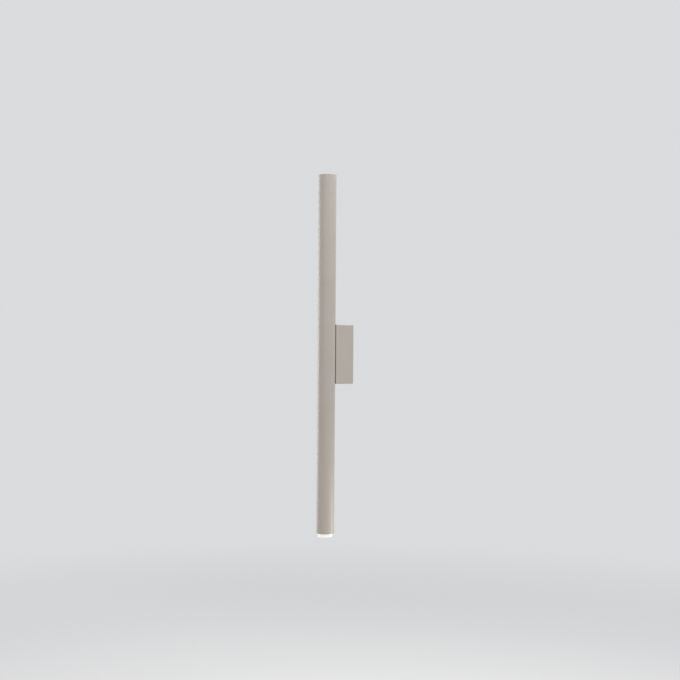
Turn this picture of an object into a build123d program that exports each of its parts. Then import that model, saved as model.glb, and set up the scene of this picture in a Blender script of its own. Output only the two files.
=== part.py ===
from build123d import *
from math import sqrt
import os

# A slim tube wall light that shines up and down. A round tube stands in the hollowed front of a small
# wall box, which slides over a folded steel bracket. The origin is the middle of the bracket's back, on
# the wall. +Z is up and the wall fills the +Y side, so the lamp stands out towards -Y.
# All sizes are in millimetres.

# Tube
tube_length = 600.0
tube_diameter = 30.0
tube_wall = 1.5
tube_rim_round = 0.4

# Wall box
box_width = 24.0
box_height = 100.0
box_depth = 40.0
box_wall = 1.8
box_web = 2.0
box_edge_round = 1.6
pocket_corner_round = 0.8
front_land = 0.4
gasket_thickness = 1.0

# Wall bracket
bracket_thickness = 2.0
bracket_bend_radius = 1.0
flange_width = 14.0
flange_reach = 14.0
wall_slot_spacing = 60.0
wall_slot_width = 4.5
wall_slot_length = 10.0
cable_bore_diameter = 8.0
grommet_wall = 2.0
grommet_lip = 2.0
grommet_lip_thickness = 1.5
grommet_lip_round = 0.5

# Lock screws, one through the box's top and one through its bottom
lock_screw_diameter = 4.0
lock_screw_length = 8.0
lock_screw_off_wall = 8.0
lock_screw_setback = 0.3
lock_hex = 2.0
lock_hex_depth = 2.0
boss_width = 10.0
boss_depth = 8.0
boss_height = 4.0

# Fastening of the tube to the box
saddle_screw_diameter = 4.0
saddle_screw_inset = 10.0
saddle_screw_tip = 1.0
button_head_diameter = 7.6
button_head_height = 2.2
button_head_round = 1.3
saddle_hex = 2.5
clamp_plate_thickness = 4.5
clamp_plate_margin = 6.0
nipple_height = 24.0
nipple_diameter = 10.0
nipple_bore_diameter = 8.0
nipple_tail = 4.5
nut_across_flats = 14.0
nut_turned_diameter = 15.7
nut_thickness = 3.0
washer_diameter = 15.0
washer_thickness = 0.8
bush_bore_diameter = 6.4
bush_lip_diameter = 11.0
bush_lip_thickness = 1.0
bush_spigot_length = 4.0

# Terminal block and earth
pole_pitch = 6.0
pole_count = 3
terminal_middle_height = -20.0
terminal_length = 16.0
terminal_depth = 13.5
terminal_tab_length = 6.0
terminal_tab_thickness = 3.0
terminal_wall = 0.8
clamp_length = 12.0
clamp_size = 4.4
clamp_bore_diameter = 2.8
clamp_screw_diameter = 2.6
clamp_screw_length = 5.0
clamp_screw_offset = 3.8
clamp_slot_width = 0.65
clamp_slot_depth = 0.8
tab_screw_diameter = 3.0
tab_screw_head_diameter = 5.4
tab_screw_head_height = 1.8
earth_height = 8.0
earth_side = 5.8
earth_screw_diameter = 4.0
earth_thread_depth = 2.0
earth_head_diameter = 7.0
tag_diameter = 8.4
tag_thickness = 0.8
tag_barrel_diameter = 3.2
tag_barrel_length = 6.0

# Cross recess in a screw's head, as shares of the head's diameter
recess_reach = 0.3
recess_half_width = 0.07
recess_sink = 0.16

# Driver
driver_gap = 14.0
driver_length = 110.0
driver_depth = 13.0
driver_wall = 1.0
driver_board_thickness = 1.2
driver_board_height = 2.2
driver_board_end_gap = 1.0
driver_board_hole_diameter = 2.0
driver_board_hole_inset = 2.0
driver_rail_width = 1.5
driver_terminal_size = (9.0, 5.0, 8.0)
transformer_width = 9.0
transformer_length = 13.0
transformer_cheek = 3.25
transformer_top_gap = 1.8
coil_inset = 0.55
choke_diameter = 7.0
choke_top_gap = 2.8
choke_bore_diameter = 2.4
choke_floor = 1.0
capacitor_diameter = 6.0
capacitor_top_gap = 2.3
capacitor_pitch = 9.0
capacitor_count = 3
capacitor_round = 0.5
collar_wall = 1.55
collar_length = 8.0
collar_inset = 12.0

# Places of the driver's components, as shares of the driver's length from its top
capacitors_place = 0.25
transformer_place = 0.55
choke_place = 0.75

# Light engine at each end, with depths counted from the tube's rim
ring_setback = 0.3
ring_height = 3.0
ring_wall = 1.05
ring_notch_width = 1.6
ring_notch_depth = 1.0
glass_thickness = 2.0
glass_edge_round = 0.25
lens_proud = 6.0
lens_edge_round = 0.8
seal_thickness = 1.0
seal_width = 1.6
reflector_height = 16.0
reflector_wall = 0.7
reflector_flange_thickness = 1.0
chip_size = 6.0
chip_thickness = 0.6
phosphor_diameter = 4.6
phosphor_thickness = 0.4
board_thickness = 1.6
board_margin = 1.5
board_screw_diameter = 2.0
board_screw_head_diameter = 3.8
board_screw_head_height = 1.2
board_screw_length = 6.0
heat_sink_length = 36.0
heat_sink_groove_width = 2.0
heat_sink_groove_depth = 2.0
heat_sink_groove_count = 4
wire_channel_diameter = 5.0

# Leads
mains_lead_diameter = 2.0
mains_lead_spacing = 3.2
mains_loop_gap = 18.0
mains_turn_radius = 5.0
nipple_turn_radius = 6.0
earth_turn_radius = 2.0
led_lead_diameter = 1.6
led_lead_spacing = 2.6
led_lead_gap = 1.9
led_loop_gap = 16.0
return_loop_gap = 8.0
return_slope_height = 12.0
led_turn_share = 0.45
lead_entry = 4.0
push_in_depth = 3.0

# Clearances
thread_clearance = 0.05
bore_clearance = 0.03
hole_clearance = 0.1
side_clearance = 0.3
gasket_clearance = 0.03
lock_tip_gap = 0.05

# How far a cut runs past the surface that it opens
overshoot = 1.0

# Sizes that follow from the ones above
tube_radius = tube_diameter / 2
bore_radius = tube_radius - tube_wall
saddle_radius = tube_radius + gasket_thickness
tube_axis = -(box_depth + sqrt(saddle_radius**2 - (box_width / 2 - front_land) ** 2))
pocket_floor = tube_axis + saddle_radius + box_web
pocket_width = box_width - 2 * box_wall
pocket_top = box_height / 2 - box_wall
saddle_screw_height = box_height / 2 - saddle_screw_inset
lock_tip_height = box_height / 2 - lock_screw_setback - lock_screw_length
flange_height = lock_tip_height - lock_tip_gap
plate_face = tube_axis + bore_radius - clamp_plate_thickness
plate_end = saddle_screw_height + clamp_plate_margin
ring_radius = bore_radius - thread_clearance
ring_inner_radius = ring_radius - ring_wall
driver_top = -(plate_end + driver_gap)
driver_bottom = driver_top - driver_length
driver_headroom = driver_depth - 2 * driver_wall - driver_board_height
collar_inner_radius = bore_radius - collar_wall
driver_width = 2 * sqrt(collar_inner_radius**2 - (driver_depth / 2) ** 2)
led_lead_offset = driver_depth / 2 + led_lead_gap + led_lead_diameter / 2
board_radius = bore_radius - board_margin
parts_folder = "parts"


def along_z(radius, low, high, x=0.0, y=0.0):
    return Pos(x, y, (low + high) / 2) * Cylinder(radius, high - low)


def along_y(radius, low, high, x=0.0, z=0.0):
    return Pos(x, (low + high) / 2, z) * Rot(90, 0, 0) * Cylinder(radius, high - low)


def block(x_span, y_span, z_span):
    middle = [(low + high) / 2 for low, high in (x_span, y_span, z_span)]
    sizes = [high - low for low, high in (x_span, y_span, z_span)]
    return Pos(*middle) * Box(*sizes)


def hexagon_z(across_flats, low, high, x=0.0, y=0.0):
    outline = RegularPolygon(across_flats / 2, 6, major_radius=False)
    return Pos(x, y, low) * extrude(outline, high - low)


def hexagon_y(across_flats, low, high, x=0.0, z=0.0):
    outline = RegularPolygon(across_flats / 2, 6, major_radius=False)
    return extrude(Plane(origin=(x, low, z), z_dir=(0, 1, 0)) * outline, high - low)


def lead(points, diameter, radii=None):
    path = FilletPolyline(*points, radius=radii) if radii else Line(*points)
    return sweep(Plane(origin=path @ 0, z_dir=path % 0) * Circle(diameter / 2), path)


def write(node, *solids):
    pieces = [solid for shape in solids for solid in shape.solids()]
    shape = pieces[0] if len(pieces) == 1 else Compound(children=pieces)
    export_step(shape, f"{parts_folder}/{node}.step")


# ---------------------------------------------------------------- wall bracket


def wall_bracket():
    """A folded steel channel: a plate on the wall with a flange turned forward at the top and bottom."""
    half_width = pocket_width / 2 - side_clearance
    fold_y = -bracket_thickness / 2
    fold_z = flange_height - bracket_thickness / 2
    route = FilletPolyline(
        (0, -flange_reach, fold_z),
        (0, fold_y, fold_z),
        (0, fold_y, -fold_z),
        (0, -flange_reach, -fold_z),
        radius=bracket_bend_radius + bracket_thickness / 2,
    )
    section = Plane(origin=route @ 0, x_dir=(1, 0, 0), z_dir=route % 0)
    bracket = sweep(section * Rectangle(flange_width, bracket_thickness), route)
    flange_corners = bracket.edges().filter_by(Axis.Z).sort_by(Axis.Y)[:4]
    bracket = fillet(flange_corners, bracket_thickness)
    plate_half_height = flange_height - bracket_thickness - bracket_bend_radius
    plate = block(
        (-half_width, half_width), (-bracket_thickness, 0), (-plate_half_height, plate_half_height)
    )
    bracket += fillet(plate.edges().filter_by(Axis.Y), bracket_bend_radius)
    slot = SlotOverall(wall_slot_length, wall_slot_width)
    for side in (1, -1):
        origin = (0, overshoot, side * wall_slot_spacing / 2)
        place = Plane(origin=origin, x_dir=(0, 0, 1), z_dir=(0, -1, 0))
        bracket -= extrude(place * slot, bracket_thickness + 2 * overshoot)
    grommet_hole = cable_bore_diameter / 2 + grommet_wall
    return bracket - along_y(grommet_hole, -bracket_thickness - overshoot, overshoot)


def cable_grommet():
    """A snap-in rubber bush for the supply cable, flush at the back so that the plate lies on the wall."""
    front = -bracket_thickness - grommet_lip_thickness
    body_radius = cable_bore_diameter / 2 + grommet_wall - bore_clearance
    lip_radius = cable_bore_diameter / 2 + grommet_wall + grommet_lip
    bush = along_y(body_radius, -bracket_thickness, 0)
    lip = along_y(lip_radius, front, -bracket_thickness)
    lip = fillet(lip.edges().sort_by(Axis.Y)[0], grommet_lip_round)
    return bush + lip - along_y(cable_bore_diameter / 2, front - overshoot, overshoot)


# ---------------------------------------------------------------- wall box and its lock screws


def wall_box():
    """A cast box, open at the wall, with its front hollowed to the tube's curve."""
    box = block((-box_width / 2, box_width / 2), (-box_depth, 0), (-box_height / 2, box_height / 2))
    back_edges = box.faces().sort_by(Axis.Y)[-1].edges()
    box = fillet(box.edges() - back_edges, box_edge_round)
    box -= along_z(saddle_radius, -box_height, box_height, y=tube_axis)
    half_pocket = pocket_width / 2
    pocket = block((-half_pocket, half_pocket), (pocket_floor, overshoot), (-pocket_top, pocket_top))
    pocket = fillet(pocket.edges().filter_by(Axis.Y), pocket_corner_round)
    box -= pocket
    for side in (1, -1):
        boss = block(
            (-boss_width / 2, boss_width / 2),
            (-lock_screw_off_wall - boss_depth / 2, -lock_screw_off_wall + boss_depth / 2),
            sorted((side * (pocket_top - boss_height), side * (pocket_top + box_wall / 2))),
        )
        box += boss
        screw_span = sorted((side * (pocket_top - boss_height - overshoot), side * box_height))
        box -= along_z(lock_screw_diameter / 2, *screw_span, y=-lock_screw_off_wall)
        box -= along_y(
            saddle_screw_diameter / 2 + hole_clearance, -box_depth, 0, z=side * saddle_screw_height
        )
    box -= along_y(nipple_diameter / 2 + hole_clearance, -box_depth, 0, z=nipple_height)
    box -= along_y(tab_screw_diameter / 2, -box_depth, 0, z=terminal_tab_middle())
    earth_bottom = pocket_floor - earth_thread_depth
    box -= along_y(earth_screw_diameter / 2, earth_bottom, 0, earth_side, earth_height)
    return box


def lock_screw(side):
    """A headless socket screw, turned in from outside until its tip grips the bracket's flange."""
    span = sorted((side * lock_tip_height, side * (lock_tip_height + lock_screw_length)))
    screw = along_z(lock_screw_diameter / 2 - thread_clearance, *span, y=-lock_screw_off_wall)
    outer = side * (lock_tip_height + lock_screw_length)
    socket = sorted((outer, outer - side * lock_hex_depth))
    return screw - hexagon_z(lock_hex, *socket, y=-lock_screw_off_wall)


# ---------------------------------------------------------------- tube and its fastening


def tube_body():
    """An extruded tube, cross-drilled at the back for its two screws and the wiring nipple."""
    half = tube_length / 2
    tube = along_z(tube_radius, -half, half, y=tube_axis)
    tube = fillet(tube.edges().filter_by(GeomType.CIRCLE), tube_rim_round)
    tube -= along_z(bore_radius, -half - overshoot, half + overshoot, y=tube_axis)
    for side in (1, -1):
        tube -= along_y(
            saddle_screw_diameter / 2 + hole_clearance, tube_axis, 0, z=side * saddle_screw_height
        )
    return tube - along_y(nipple_diameter / 2 + hole_clearance, tube_axis, 0, z=nipple_height)


def saddle_gasket():
    """A soft strip that fills the gap between the tube's back and the box's hollow front."""
    half_width = box_width / 2 - 2 * front_land
    half_height = box_height / 2 - box_edge_round / 2
    outer = along_z(saddle_radius - gasket_clearance, -half_height, half_height, y=tube_axis)
    inner = along_z(tube_radius + gasket_clearance, -box_height, box_height, y=tube_axis)
    strip = (outer - inner) & block((-half_width, half_width), (tube_axis, 0), (-half_height, half_height))
    for side in (1, -1):
        strip -= along_y(
            saddle_screw_diameter / 2 + hole_clearance, tube_axis, 0, z=side * saddle_screw_height
        )
    return strip - along_y(nipple_diameter / 2 + hole_clearance, tube_axis, 0, z=nipple_height)


def clamp_plate():
    """A curved nut plate inside the tube: the saddle screws and the nipple are threaded into it."""
    plate = along_z(bore_radius - bore_clearance, -plate_end, plate_end, y=tube_axis)
    plate &= block((-tube_radius, tube_radius), (plate_face, 0), (-plate_end, plate_end))
    for side in (1, -1):
        plate -= along_y(
            saddle_screw_diameter / 2 + thread_clearance, tube_axis, 0, z=side * saddle_screw_height
        )
    return plate - along_y(nipple_diameter / 2 + thread_clearance, tube_axis, 0, z=nipple_height)


def saddle_screws():
    """Two button-head screws, put in from inside the box."""
    tip = plate_face - saddle_screw_tip
    for side in (1, -1):
        height = side * saddle_screw_height
        shank = along_y(saddle_screw_diameter / 2, tip, pocket_floor, z=height)
        head_top = pocket_floor + button_head_height
        head = along_y(button_head_diameter / 2, pocket_floor, head_top, z=height)
        head = fillet(head.edges().sort_by(Axis.Y)[-1], button_head_round)
        socket = (pocket_floor + button_head_height / 2, head_top)
        yield shank + head - hexagon_y(saddle_hex, *socket, z=height)


def wire_nipple():
    """A hollow threaded pipe that carries the leads from the box into the tube."""
    back = pocket_floor + nipple_tail
    pipe = along_y(nipple_diameter / 2, plate_face, back, z=nipple_height)
    return pipe - along_y(
        nipple_bore_diameter / 2, plate_face - overshoot, back + overshoot, z=nipple_height
    )


def nipple_washer():
    high = pocket_floor + washer_thickness
    disc = along_y(washer_diameter / 2, pocket_floor, high, z=nipple_height)
    hole = nipple_diameter / 2 + hole_clearance
    return disc - along_y(hole, pocket_floor - overshoot, high + overshoot, z=nipple_height)


def nipple_nut():
    low = pocket_floor + washer_thickness
    high = low + nut_thickness
    nut = hexagon_y(nut_across_flats, low, high, z=nipple_height)
    nut &= along_y(nut_turned_diameter / 2, low, high, z=nipple_height)
    thread = nipple_diameter / 2 + thread_clearance
    return nut - along_y(thread, low - overshoot, high + overshoot, z=nipple_height)


def nipple_bushes():
    """A plastic bush at each mouth of the nipple, so its edge doesn't cut the leads."""
    for mouth, outward in ((plate_face, -1), (pocket_floor + nipple_tail, 1)):
        lip_span = sorted((mouth, mouth + outward * bush_lip_thickness))
        spigot_span = sorted((mouth, mouth - outward * bush_spigot_length))
        bush = along_y(bush_lip_diameter / 2, *lip_span, z=nipple_height)
        bush += along_y(nipple_bore_diameter / 2 - thread_clearance, *spigot_span, z=nipple_height)
        yield bush - along_y(bush_bore_diameter / 2, tube_axis, 0, z=nipple_height)


# ---------------------------------------------------------------- terminal block and earth


def terminal_tab_middle():
    return terminal_middle_height - terminal_length / 2 - terminal_tab_length / 2


def pole_sides():
    return [(index - (pole_count - 1) / 2) * pole_pitch for index in range(pole_count)]


def clamp_axis_depth():
    return pocket_floor + terminal_depth / 2 - terminal_wall


def terminal_housing():
    """A moulded block on the box's floor, with a cell for each pole and a screw tab below."""
    half_width = pole_count * pole_pitch / 2
    bottom = terminal_middle_height - terminal_length / 2
    top = terminal_middle_height + terminal_length / 2
    back = pocket_floor + terminal_depth
    housing = block((-half_width, half_width), (pocket_floor, back), (bottom, top))
    housing += block(
        (-half_width, half_width),
        (pocket_floor, pocket_floor + terminal_tab_thickness),
        (bottom - terminal_tab_length, bottom),
    )
    y = clamp_axis_depth()
    cell = clamp_size / 2 + hole_clearance
    cell_half_length = clamp_length / 2 + hole_clearance
    for x in pole_sides():
        housing -= block(
            (x - cell, x + cell),
            (y - cell, y + cell),
            (terminal_middle_height - cell_half_length, terminal_middle_height + cell_half_length),
        )
        housing -= along_z(clamp_bore_diameter / 2, bottom - overshoot, top + overshoot, x, y)
        for side in (1, -1):
            z = terminal_middle_height + side * clamp_screw_offset
            housing -= along_y(clamp_screw_diameter / 2 + 2 * hole_clearance, y, back + overshoot, x, z)
    tab_hole = tab_screw_diameter / 2 + hole_clearance
    return housing - along_y(tab_hole, -box_depth, 0, z=terminal_tab_middle())


def terminal_clamps():
    """A brass clamp in each cell, bored end to end for the wires and tapped for two screws."""
    y = clamp_axis_depth()
    low = terminal_middle_height - clamp_length / 2
    high = terminal_middle_height + clamp_length / 2
    for x in pole_sides():
        clamp = block(
            (x - clamp_size / 2, x + clamp_size / 2), (y - clamp_size / 2, y + clamp_size / 2), (low, high)
        )
        clamp -= along_z(clamp_bore_diameter / 2, low - overshoot, high + overshoot, x, y)
        for side in (1, -1):
            z = terminal_middle_height + side * clamp_screw_offset
            clamp -= along_y(clamp_screw_diameter / 2 + thread_clearance, y, y + clamp_size, x, z)
        yield clamp


def terminal_screws():
    """Two slotted screws to a clamp, turned in until they press on the wire."""
    low = clamp_axis_depth() + mains_lead_diameter / 2
    high = low + clamp_screw_length
    for x in pole_sides():
        for side in (1, -1):
            z = terminal_middle_height + side * clamp_screw_offset
            screw = along_y(clamp_screw_diameter / 2, low, high, x, z)
            yield screw - block(
                (x - clamp_screw_diameter, x + clamp_screw_diameter),
                (high - clamp_slot_depth, high + overshoot),
                (z - clamp_slot_width / 2, z + clamp_slot_width / 2),
            )


def terminal_fixing_screw():
    z = terminal_tab_middle()
    head_low = pocket_floor + terminal_tab_thickness
    tip = tube_axis + saddle_radius
    head_high = head_low + tab_screw_head_height
    screw = along_y(tab_screw_diameter / 2 - thread_clearance, tip, head_low, z=z)
    head = along_y(tab_screw_head_diameter / 2, head_low, head_high, z=z)
    head = fillet(head.edges().sort_by(Axis.Y)[-1], tab_screw_head_height / 2)
    return screw + head - cross_recess(head_high, 0, z, tab_screw_head_diameter)


def cross_recess(face, x, z, head_diameter):
    long_half = head_diameter * recess_reach
    short_half = head_diameter * recess_half_width
    span = (face - head_diameter * recess_sink, face + overshoot)
    upright = block((x - short_half, x + short_half), span, (z - long_half, z + long_half))
    level = block((x - long_half, x + long_half), span, (z - short_half, z + short_half))
    return upright + level


def earth_screw():
    head_low = pocket_floor + tag_thickness
    head_high = head_low + tab_screw_head_height
    bottom = pocket_floor - earth_thread_depth
    screw = along_y(earth_screw_diameter / 2 - thread_clearance, bottom, head_low, earth_side, earth_height)
    head = along_y(earth_head_diameter / 2, head_low, head_high, earth_side, earth_height)
    head = fillet(head.edges().sort_by(Axis.Y)[-1], tab_screw_head_height / 2)
    return screw + head - cross_recess(head_high, earth_side, earth_height, earth_head_diameter)


def earth_barrel_span():
    """Foot and top of the tag's barrel, whose top runs into the edge of the ring."""
    top = earth_height - tag_diameter / 2 + tag_thickness / 2
    return top - tag_barrel_length, top


def earth_tag():
    """A crimped ring tag under the earth screw, with its barrel pointing down at the terminal block."""
    high = pocket_floor + tag_thickness
    ring = along_y(tag_diameter / 2, pocket_floor, high, earth_side, earth_height)
    hole = (pocket_floor - overshoot, high + overshoot)
    ring -= along_y(earth_screw_diameter / 2, *hole, earth_side, earth_height)
    foot, top = earth_barrel_span()
    barrel_y = pocket_floor + tag_barrel_diameter / 2
    barrel = along_z(tag_barrel_diameter / 2, foot, top, earth_side, barrel_y)
    bore = along_z(mains_lead_diameter / 2, foot - overshoot, top - tag_thickness, earth_side, barrel_y)
    return ring + barrel - bore


# ---------------------------------------------------------------- driver


def driver_shell(outer_face, parting):
    """One half of the driver's case, out to the given face, with half of each wire hole on the parting."""
    half_width = driver_width / 2
    span = sorted((outer_face, parting))
    inward = 1 if parting > outer_face else -1
    shell = block((-half_width, half_width), span, (driver_bottom, driver_top))
    hollow_span = sorted((outer_face + inward * driver_wall, parting + inward * overshoot))
    shell -= block(
        (-half_width + driver_wall, half_width - driver_wall),
        hollow_span,
        (driver_bottom + driver_wall, driver_top - driver_wall),
    )
    for side in (1, -1):
        x = side * mains_lead_spacing / 2
        hole = mains_lead_diameter / 2 + hole_clearance
        shell -= along_z(hole, driver_bottom - overshoot, driver_top + overshoot, x, tube_axis)
    return shell


def driver_board_face():
    return tube_axis - driver_depth / 2 + driver_wall + driver_board_height


def driver_board():
    half_width = driver_width / 2 - driver_wall - hole_clearance
    face = driver_board_face()
    gap = driver_wall + driver_board_end_gap
    board = block(
        (-half_width, half_width),
        (face - driver_board_thickness, face),
        (driver_bottom + gap, driver_top - gap),
    )
    hole_span = (face - driver_board_thickness - overshoot, face + overshoot)
    inset = gap + driver_board_hole_inset
    for x in (half_width - driver_board_hole_inset, driver_board_hole_inset - half_width):
        for z in (driver_bottom + inset, driver_top - inset):
            board -= along_y(driver_board_hole_diameter / 2, *hole_span, x, z)
    return board


def driver_rails():
    """Two ledges moulded on the tray's floor, which carry the board."""
    low = tube_axis - driver_depth / 2 + driver_wall
    high = driver_board_face() - driver_board_thickness
    inner = driver_width / 2 - driver_wall
    for side in (1, -1):
        yield block(
            sorted((side * (inner - driver_rail_width), side * inner)),
            (low, high),
            (driver_bottom + driver_wall, driver_top - driver_wall),
        )


def driver_tray():
    tray = driver_shell(tube_axis - driver_depth / 2, tube_axis)
    for rail in driver_rails():
        tray += rail
    return tray


def driver_cover():
    return driver_shell(tube_axis + driver_depth / 2, tube_axis)


def on_driver_board(size, from_top):
    """A block of the given width, height and length on the board, a distance below the driver's top."""
    width, height, length = size
    face = driver_board_face()
    middle = driver_top - from_top
    z_span = (middle - length / 2, middle + length / 2)
    return block((-width / 2, width / 2), (face, face + height), z_span)


def driver_terminals():
    """A push-in block at each end of the board, with a blind hole for each lead."""
    half_length = driver_terminal_size[2] / 2
    inset = driver_wall + lead_entry + half_length
    for outward, from_top, end in ((1, inset, driver_top), (-1, driver_length - inset, driver_bottom)):
        terminal = on_driver_board(driver_terminal_size, from_top)
        mouth = end - outward * (driver_wall + lead_entry)
        floor = mouth - outward * (push_in_depth + hole_clearance)
        span = sorted((mouth + outward * overshoot, floor))
        for side in (1, -1):
            hole = mains_lead_diameter / 2 + hole_clearance
            terminal -= along_z(hole, *span, side * mains_lead_spacing / 2, tube_axis)
        yield terminal


def driver_transformer():
    """A wound core: two ferrite cheeks with the coil between them."""
    height = driver_headroom - transformer_top_gap
    middle = driver_length * transformer_place
    cheek_offset = (transformer_length - transformer_cheek) / 2
    core = on_driver_board((transformer_width, height, transformer_cheek), middle - cheek_offset)
    core += on_driver_board((transformer_width, height, transformer_cheek), middle + cheek_offset)
    z = driver_top - middle
    coil_half = transformer_length / 2 - transformer_cheek
    coil_y = driver_board_face() + height / 2
    return core + along_z(height / 2 - coil_inset, z - coil_half, z + coil_half, 0, coil_y)


def driver_capacitors():
    face = driver_board_face()
    top = face + driver_headroom - capacitor_top_gap
    first = driver_top - driver_length * capacitors_place
    for index in range(capacitor_count):
        can = along_y(capacitor_diameter / 2, face, top, 0, first - index * capacitor_pitch)
        yield fillet(can.edges().sort_by(Axis.Y)[-1], capacitor_round)


def driver_choke():
    face = driver_board_face()
    top = face + driver_headroom - choke_top_gap
    z = driver_top - driver_length * choke_place
    ring = along_y(choke_diameter / 2, face, top, 0, z)
    return ring - along_y(choke_bore_diameter / 2, face + choke_floor, top + overshoot, 0, z)


def driver_collars():
    """Two nylon collars that hold the driver in the middle of the tube, notched in front for the leads."""
    notch_half = led_lead_spacing / 2 + led_lead_diameter
    notch_back = tube_axis - driver_depth / 2 - led_lead_gap / 2
    half_width = driver_width / 2 + bore_clearance
    half_depth = driver_depth / 2 + bore_clearance
    for middle in (driver_top - collar_inset, driver_bottom + collar_inset):
        low, high = middle - collar_length / 2, middle + collar_length / 2
        cut = (low - overshoot, high + overshoot)
        collar = along_z(bore_radius - bore_clearance, low, high, y=tube_axis)
        collar -= block((-half_width, half_width), (tube_axis - half_depth, tube_axis + half_depth), cut)
        yield collar - block((-notch_half, notch_half), (tube_axis - tube_radius, notch_back), cut)


# ---------------------------------------------------------------- light engine


def at_depth(end, near, far):
    """The two heights, lowest first, of a piece that lies between two depths inside an end's rim."""
    rim = end * tube_length / 2
    return sorted((rim - end * near, rim - end * far))


glass_depth = ring_setback + ring_height
seal_depth = glass_depth + glass_thickness
reflector_depth = seal_depth + seal_thickness
board_depth = reflector_depth + reflector_height
heat_sink_depth = board_depth + board_thickness


def lens_ring(end):
    """The threaded ring that holds the glass or lens, with two notches for a pin key."""
    low, high = at_depth(end, ring_setback, glass_depth)
    ring = along_z(ring_radius, low, high, y=tube_axis)
    ring -= along_z(ring_inner_radius, low - overshoot, high + overshoot, y=tube_axis)
    return ring - block(
        (-ring_notch_width / 2, ring_notch_width / 2),
        (tube_axis - tube_radius, tube_axis + tube_radius),
        at_depth(end, ring_setback - overshoot, ring_setback + ring_notch_depth),
    )


def upper_glass():
    """A flat frosted disc just inside the rim."""
    disc = along_z(bore_radius - side_clearance, *at_depth(1, glass_depth, seal_depth), y=tube_axis)
    return fillet(disc.edges().filter_by(GeomType.CIRCLE), glass_edge_round)


def lower_lens():
    """A solid moulded lens: a flange held by the ring, and a round nose that stands proud of the rim."""
    flange = along_z(bore_radius - side_clearance, *at_depth(-1, glass_depth, seal_depth), y=tube_axis)
    nose_span = at_depth(-1, -lens_proud, glass_depth)
    nose = along_z(ring_inner_radius - side_clearance, *nose_span, y=tube_axis)
    nose = fillet(nose.edges().sort_by(Axis.Z)[0], lens_edge_round)
    return flange + nose


def seal(end):
    low, high = at_depth(end, seal_depth, reflector_depth)
    radius = bore_radius - side_clearance
    outer = along_z(radius, low, high, y=tube_axis)
    return outer - along_z(radius - seal_width, low - overshoot, high + overshoot, y=tube_axis)


def reflector(end):
    """A spun cone that stands on the lamp board and carries the seal on its flange."""
    foot = chip_size / 2 * sqrt(2) + side_clearance
    flange_outer = bore_radius - side_clearance
    mouth = flange_outer - seal_width - reflector_wall
    rim = end * (tube_length / 2 - reflector_depth)
    base = end * (tube_length / 2 - board_depth)
    under_flange = rim - end * reflector_flange_thickness
    outline = Polyline(
        (foot, base),
        (foot + reflector_wall, base),
        (mouth + reflector_wall, under_flange),
        (flange_outer, under_flange),
        (flange_outer, rim),
        (mouth, rim),
        (foot, base),
    )
    profile = make_face(Plane.XZ * outline)
    return Pos(0, tube_axis, 0) * revolve(profile, Axis.Z)


def led_board(end):
    """A round lamp board with two screw holes and an open notch in front for the leads."""
    span = at_depth(end, board_depth, heat_sink_depth)
    low, high = span
    cut = (low - overshoot, high + overshoot)
    board = along_z(board_radius, *span, y=tube_axis)
    notch_half = led_lead_spacing / 2 + led_lead_diameter / 2 + hole_clearance
    notch_back = tube_axis - led_lead_offset + led_lead_diameter / 2 + hole_clearance
    board -= block((-notch_half, notch_half), (tube_axis - tube_radius, notch_back), cut)
    for side in (1, -1):
        hole = board_screw_diameter / 2 + hole_clearance
        board -= along_z(hole, *cut, side * board_screw_side(), tube_axis)
    return board


def board_screw_side():
    return board_radius - board_screw_head_diameter / 2 - hole_clearance


def led_board_screws(end):
    for side in (1, -1):
        x = side * board_screw_side()
        tip_low, tip_high = at_depth(end, board_depth, board_depth + board_screw_length)
        screw = along_z(board_screw_diameter / 2, tip_low, tip_high, x, tube_axis)
        head_low, head_high = at_depth(end, board_depth - board_screw_head_height, board_depth)
        head = along_z(board_screw_head_diameter / 2, head_low, head_high, x, tube_axis)
        outer = head.edges().sort_by(Axis.Z)[-1 if end > 0 else 0]
        yield screw + fillet(outer, board_screw_head_height / 2)


def led_chip(end):
    half = chip_size / 2
    span = at_depth(end, board_depth - chip_thickness, board_depth)
    return block((-half, half), (tube_axis - half, tube_axis + half), span)


def led_phosphor(end):
    far = board_depth - chip_thickness
    return along_z(phosphor_diameter / 2, *at_depth(end, far - phosphor_thickness, far), y=tube_axis)


def heat_sink(end):
    """A turned slug pressed into the tube, grooved round its side and drilled for the leads."""
    low, high = at_depth(end, heat_sink_depth, heat_sink_depth + heat_sink_length)
    slug = along_z(bore_radius - bore_clearance, low, high, y=tube_axis)
    pitch = heat_sink_length / (heat_sink_groove_count + 1)
    for index in range(heat_sink_groove_count):
        middle = low + (index + 1) * pitch
        span = (middle - heat_sink_groove_width / 2, middle + heat_sink_groove_width / 2)
        groove = along_z(tube_radius, *span, y=tube_axis)
        slug -= groove - along_z(bore_radius - heat_sink_groove_depth, *span, y=tube_axis)
    channel = (low - overshoot, high + overshoot)
    slug -= along_z(wire_channel_diameter / 2, *channel, 0, tube_axis - led_lead_offset)
    screw_hole = at_depth(end, heat_sink_depth, board_depth + board_screw_length + overshoot)
    thread = board_screw_diameter / 2 + thread_clearance
    for side in (1, -1):
        slug -= along_z(thread, *screw_hole, side * board_screw_side(), tube_axis)
    return slug


# ---------------------------------------------------------------- leads


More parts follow.
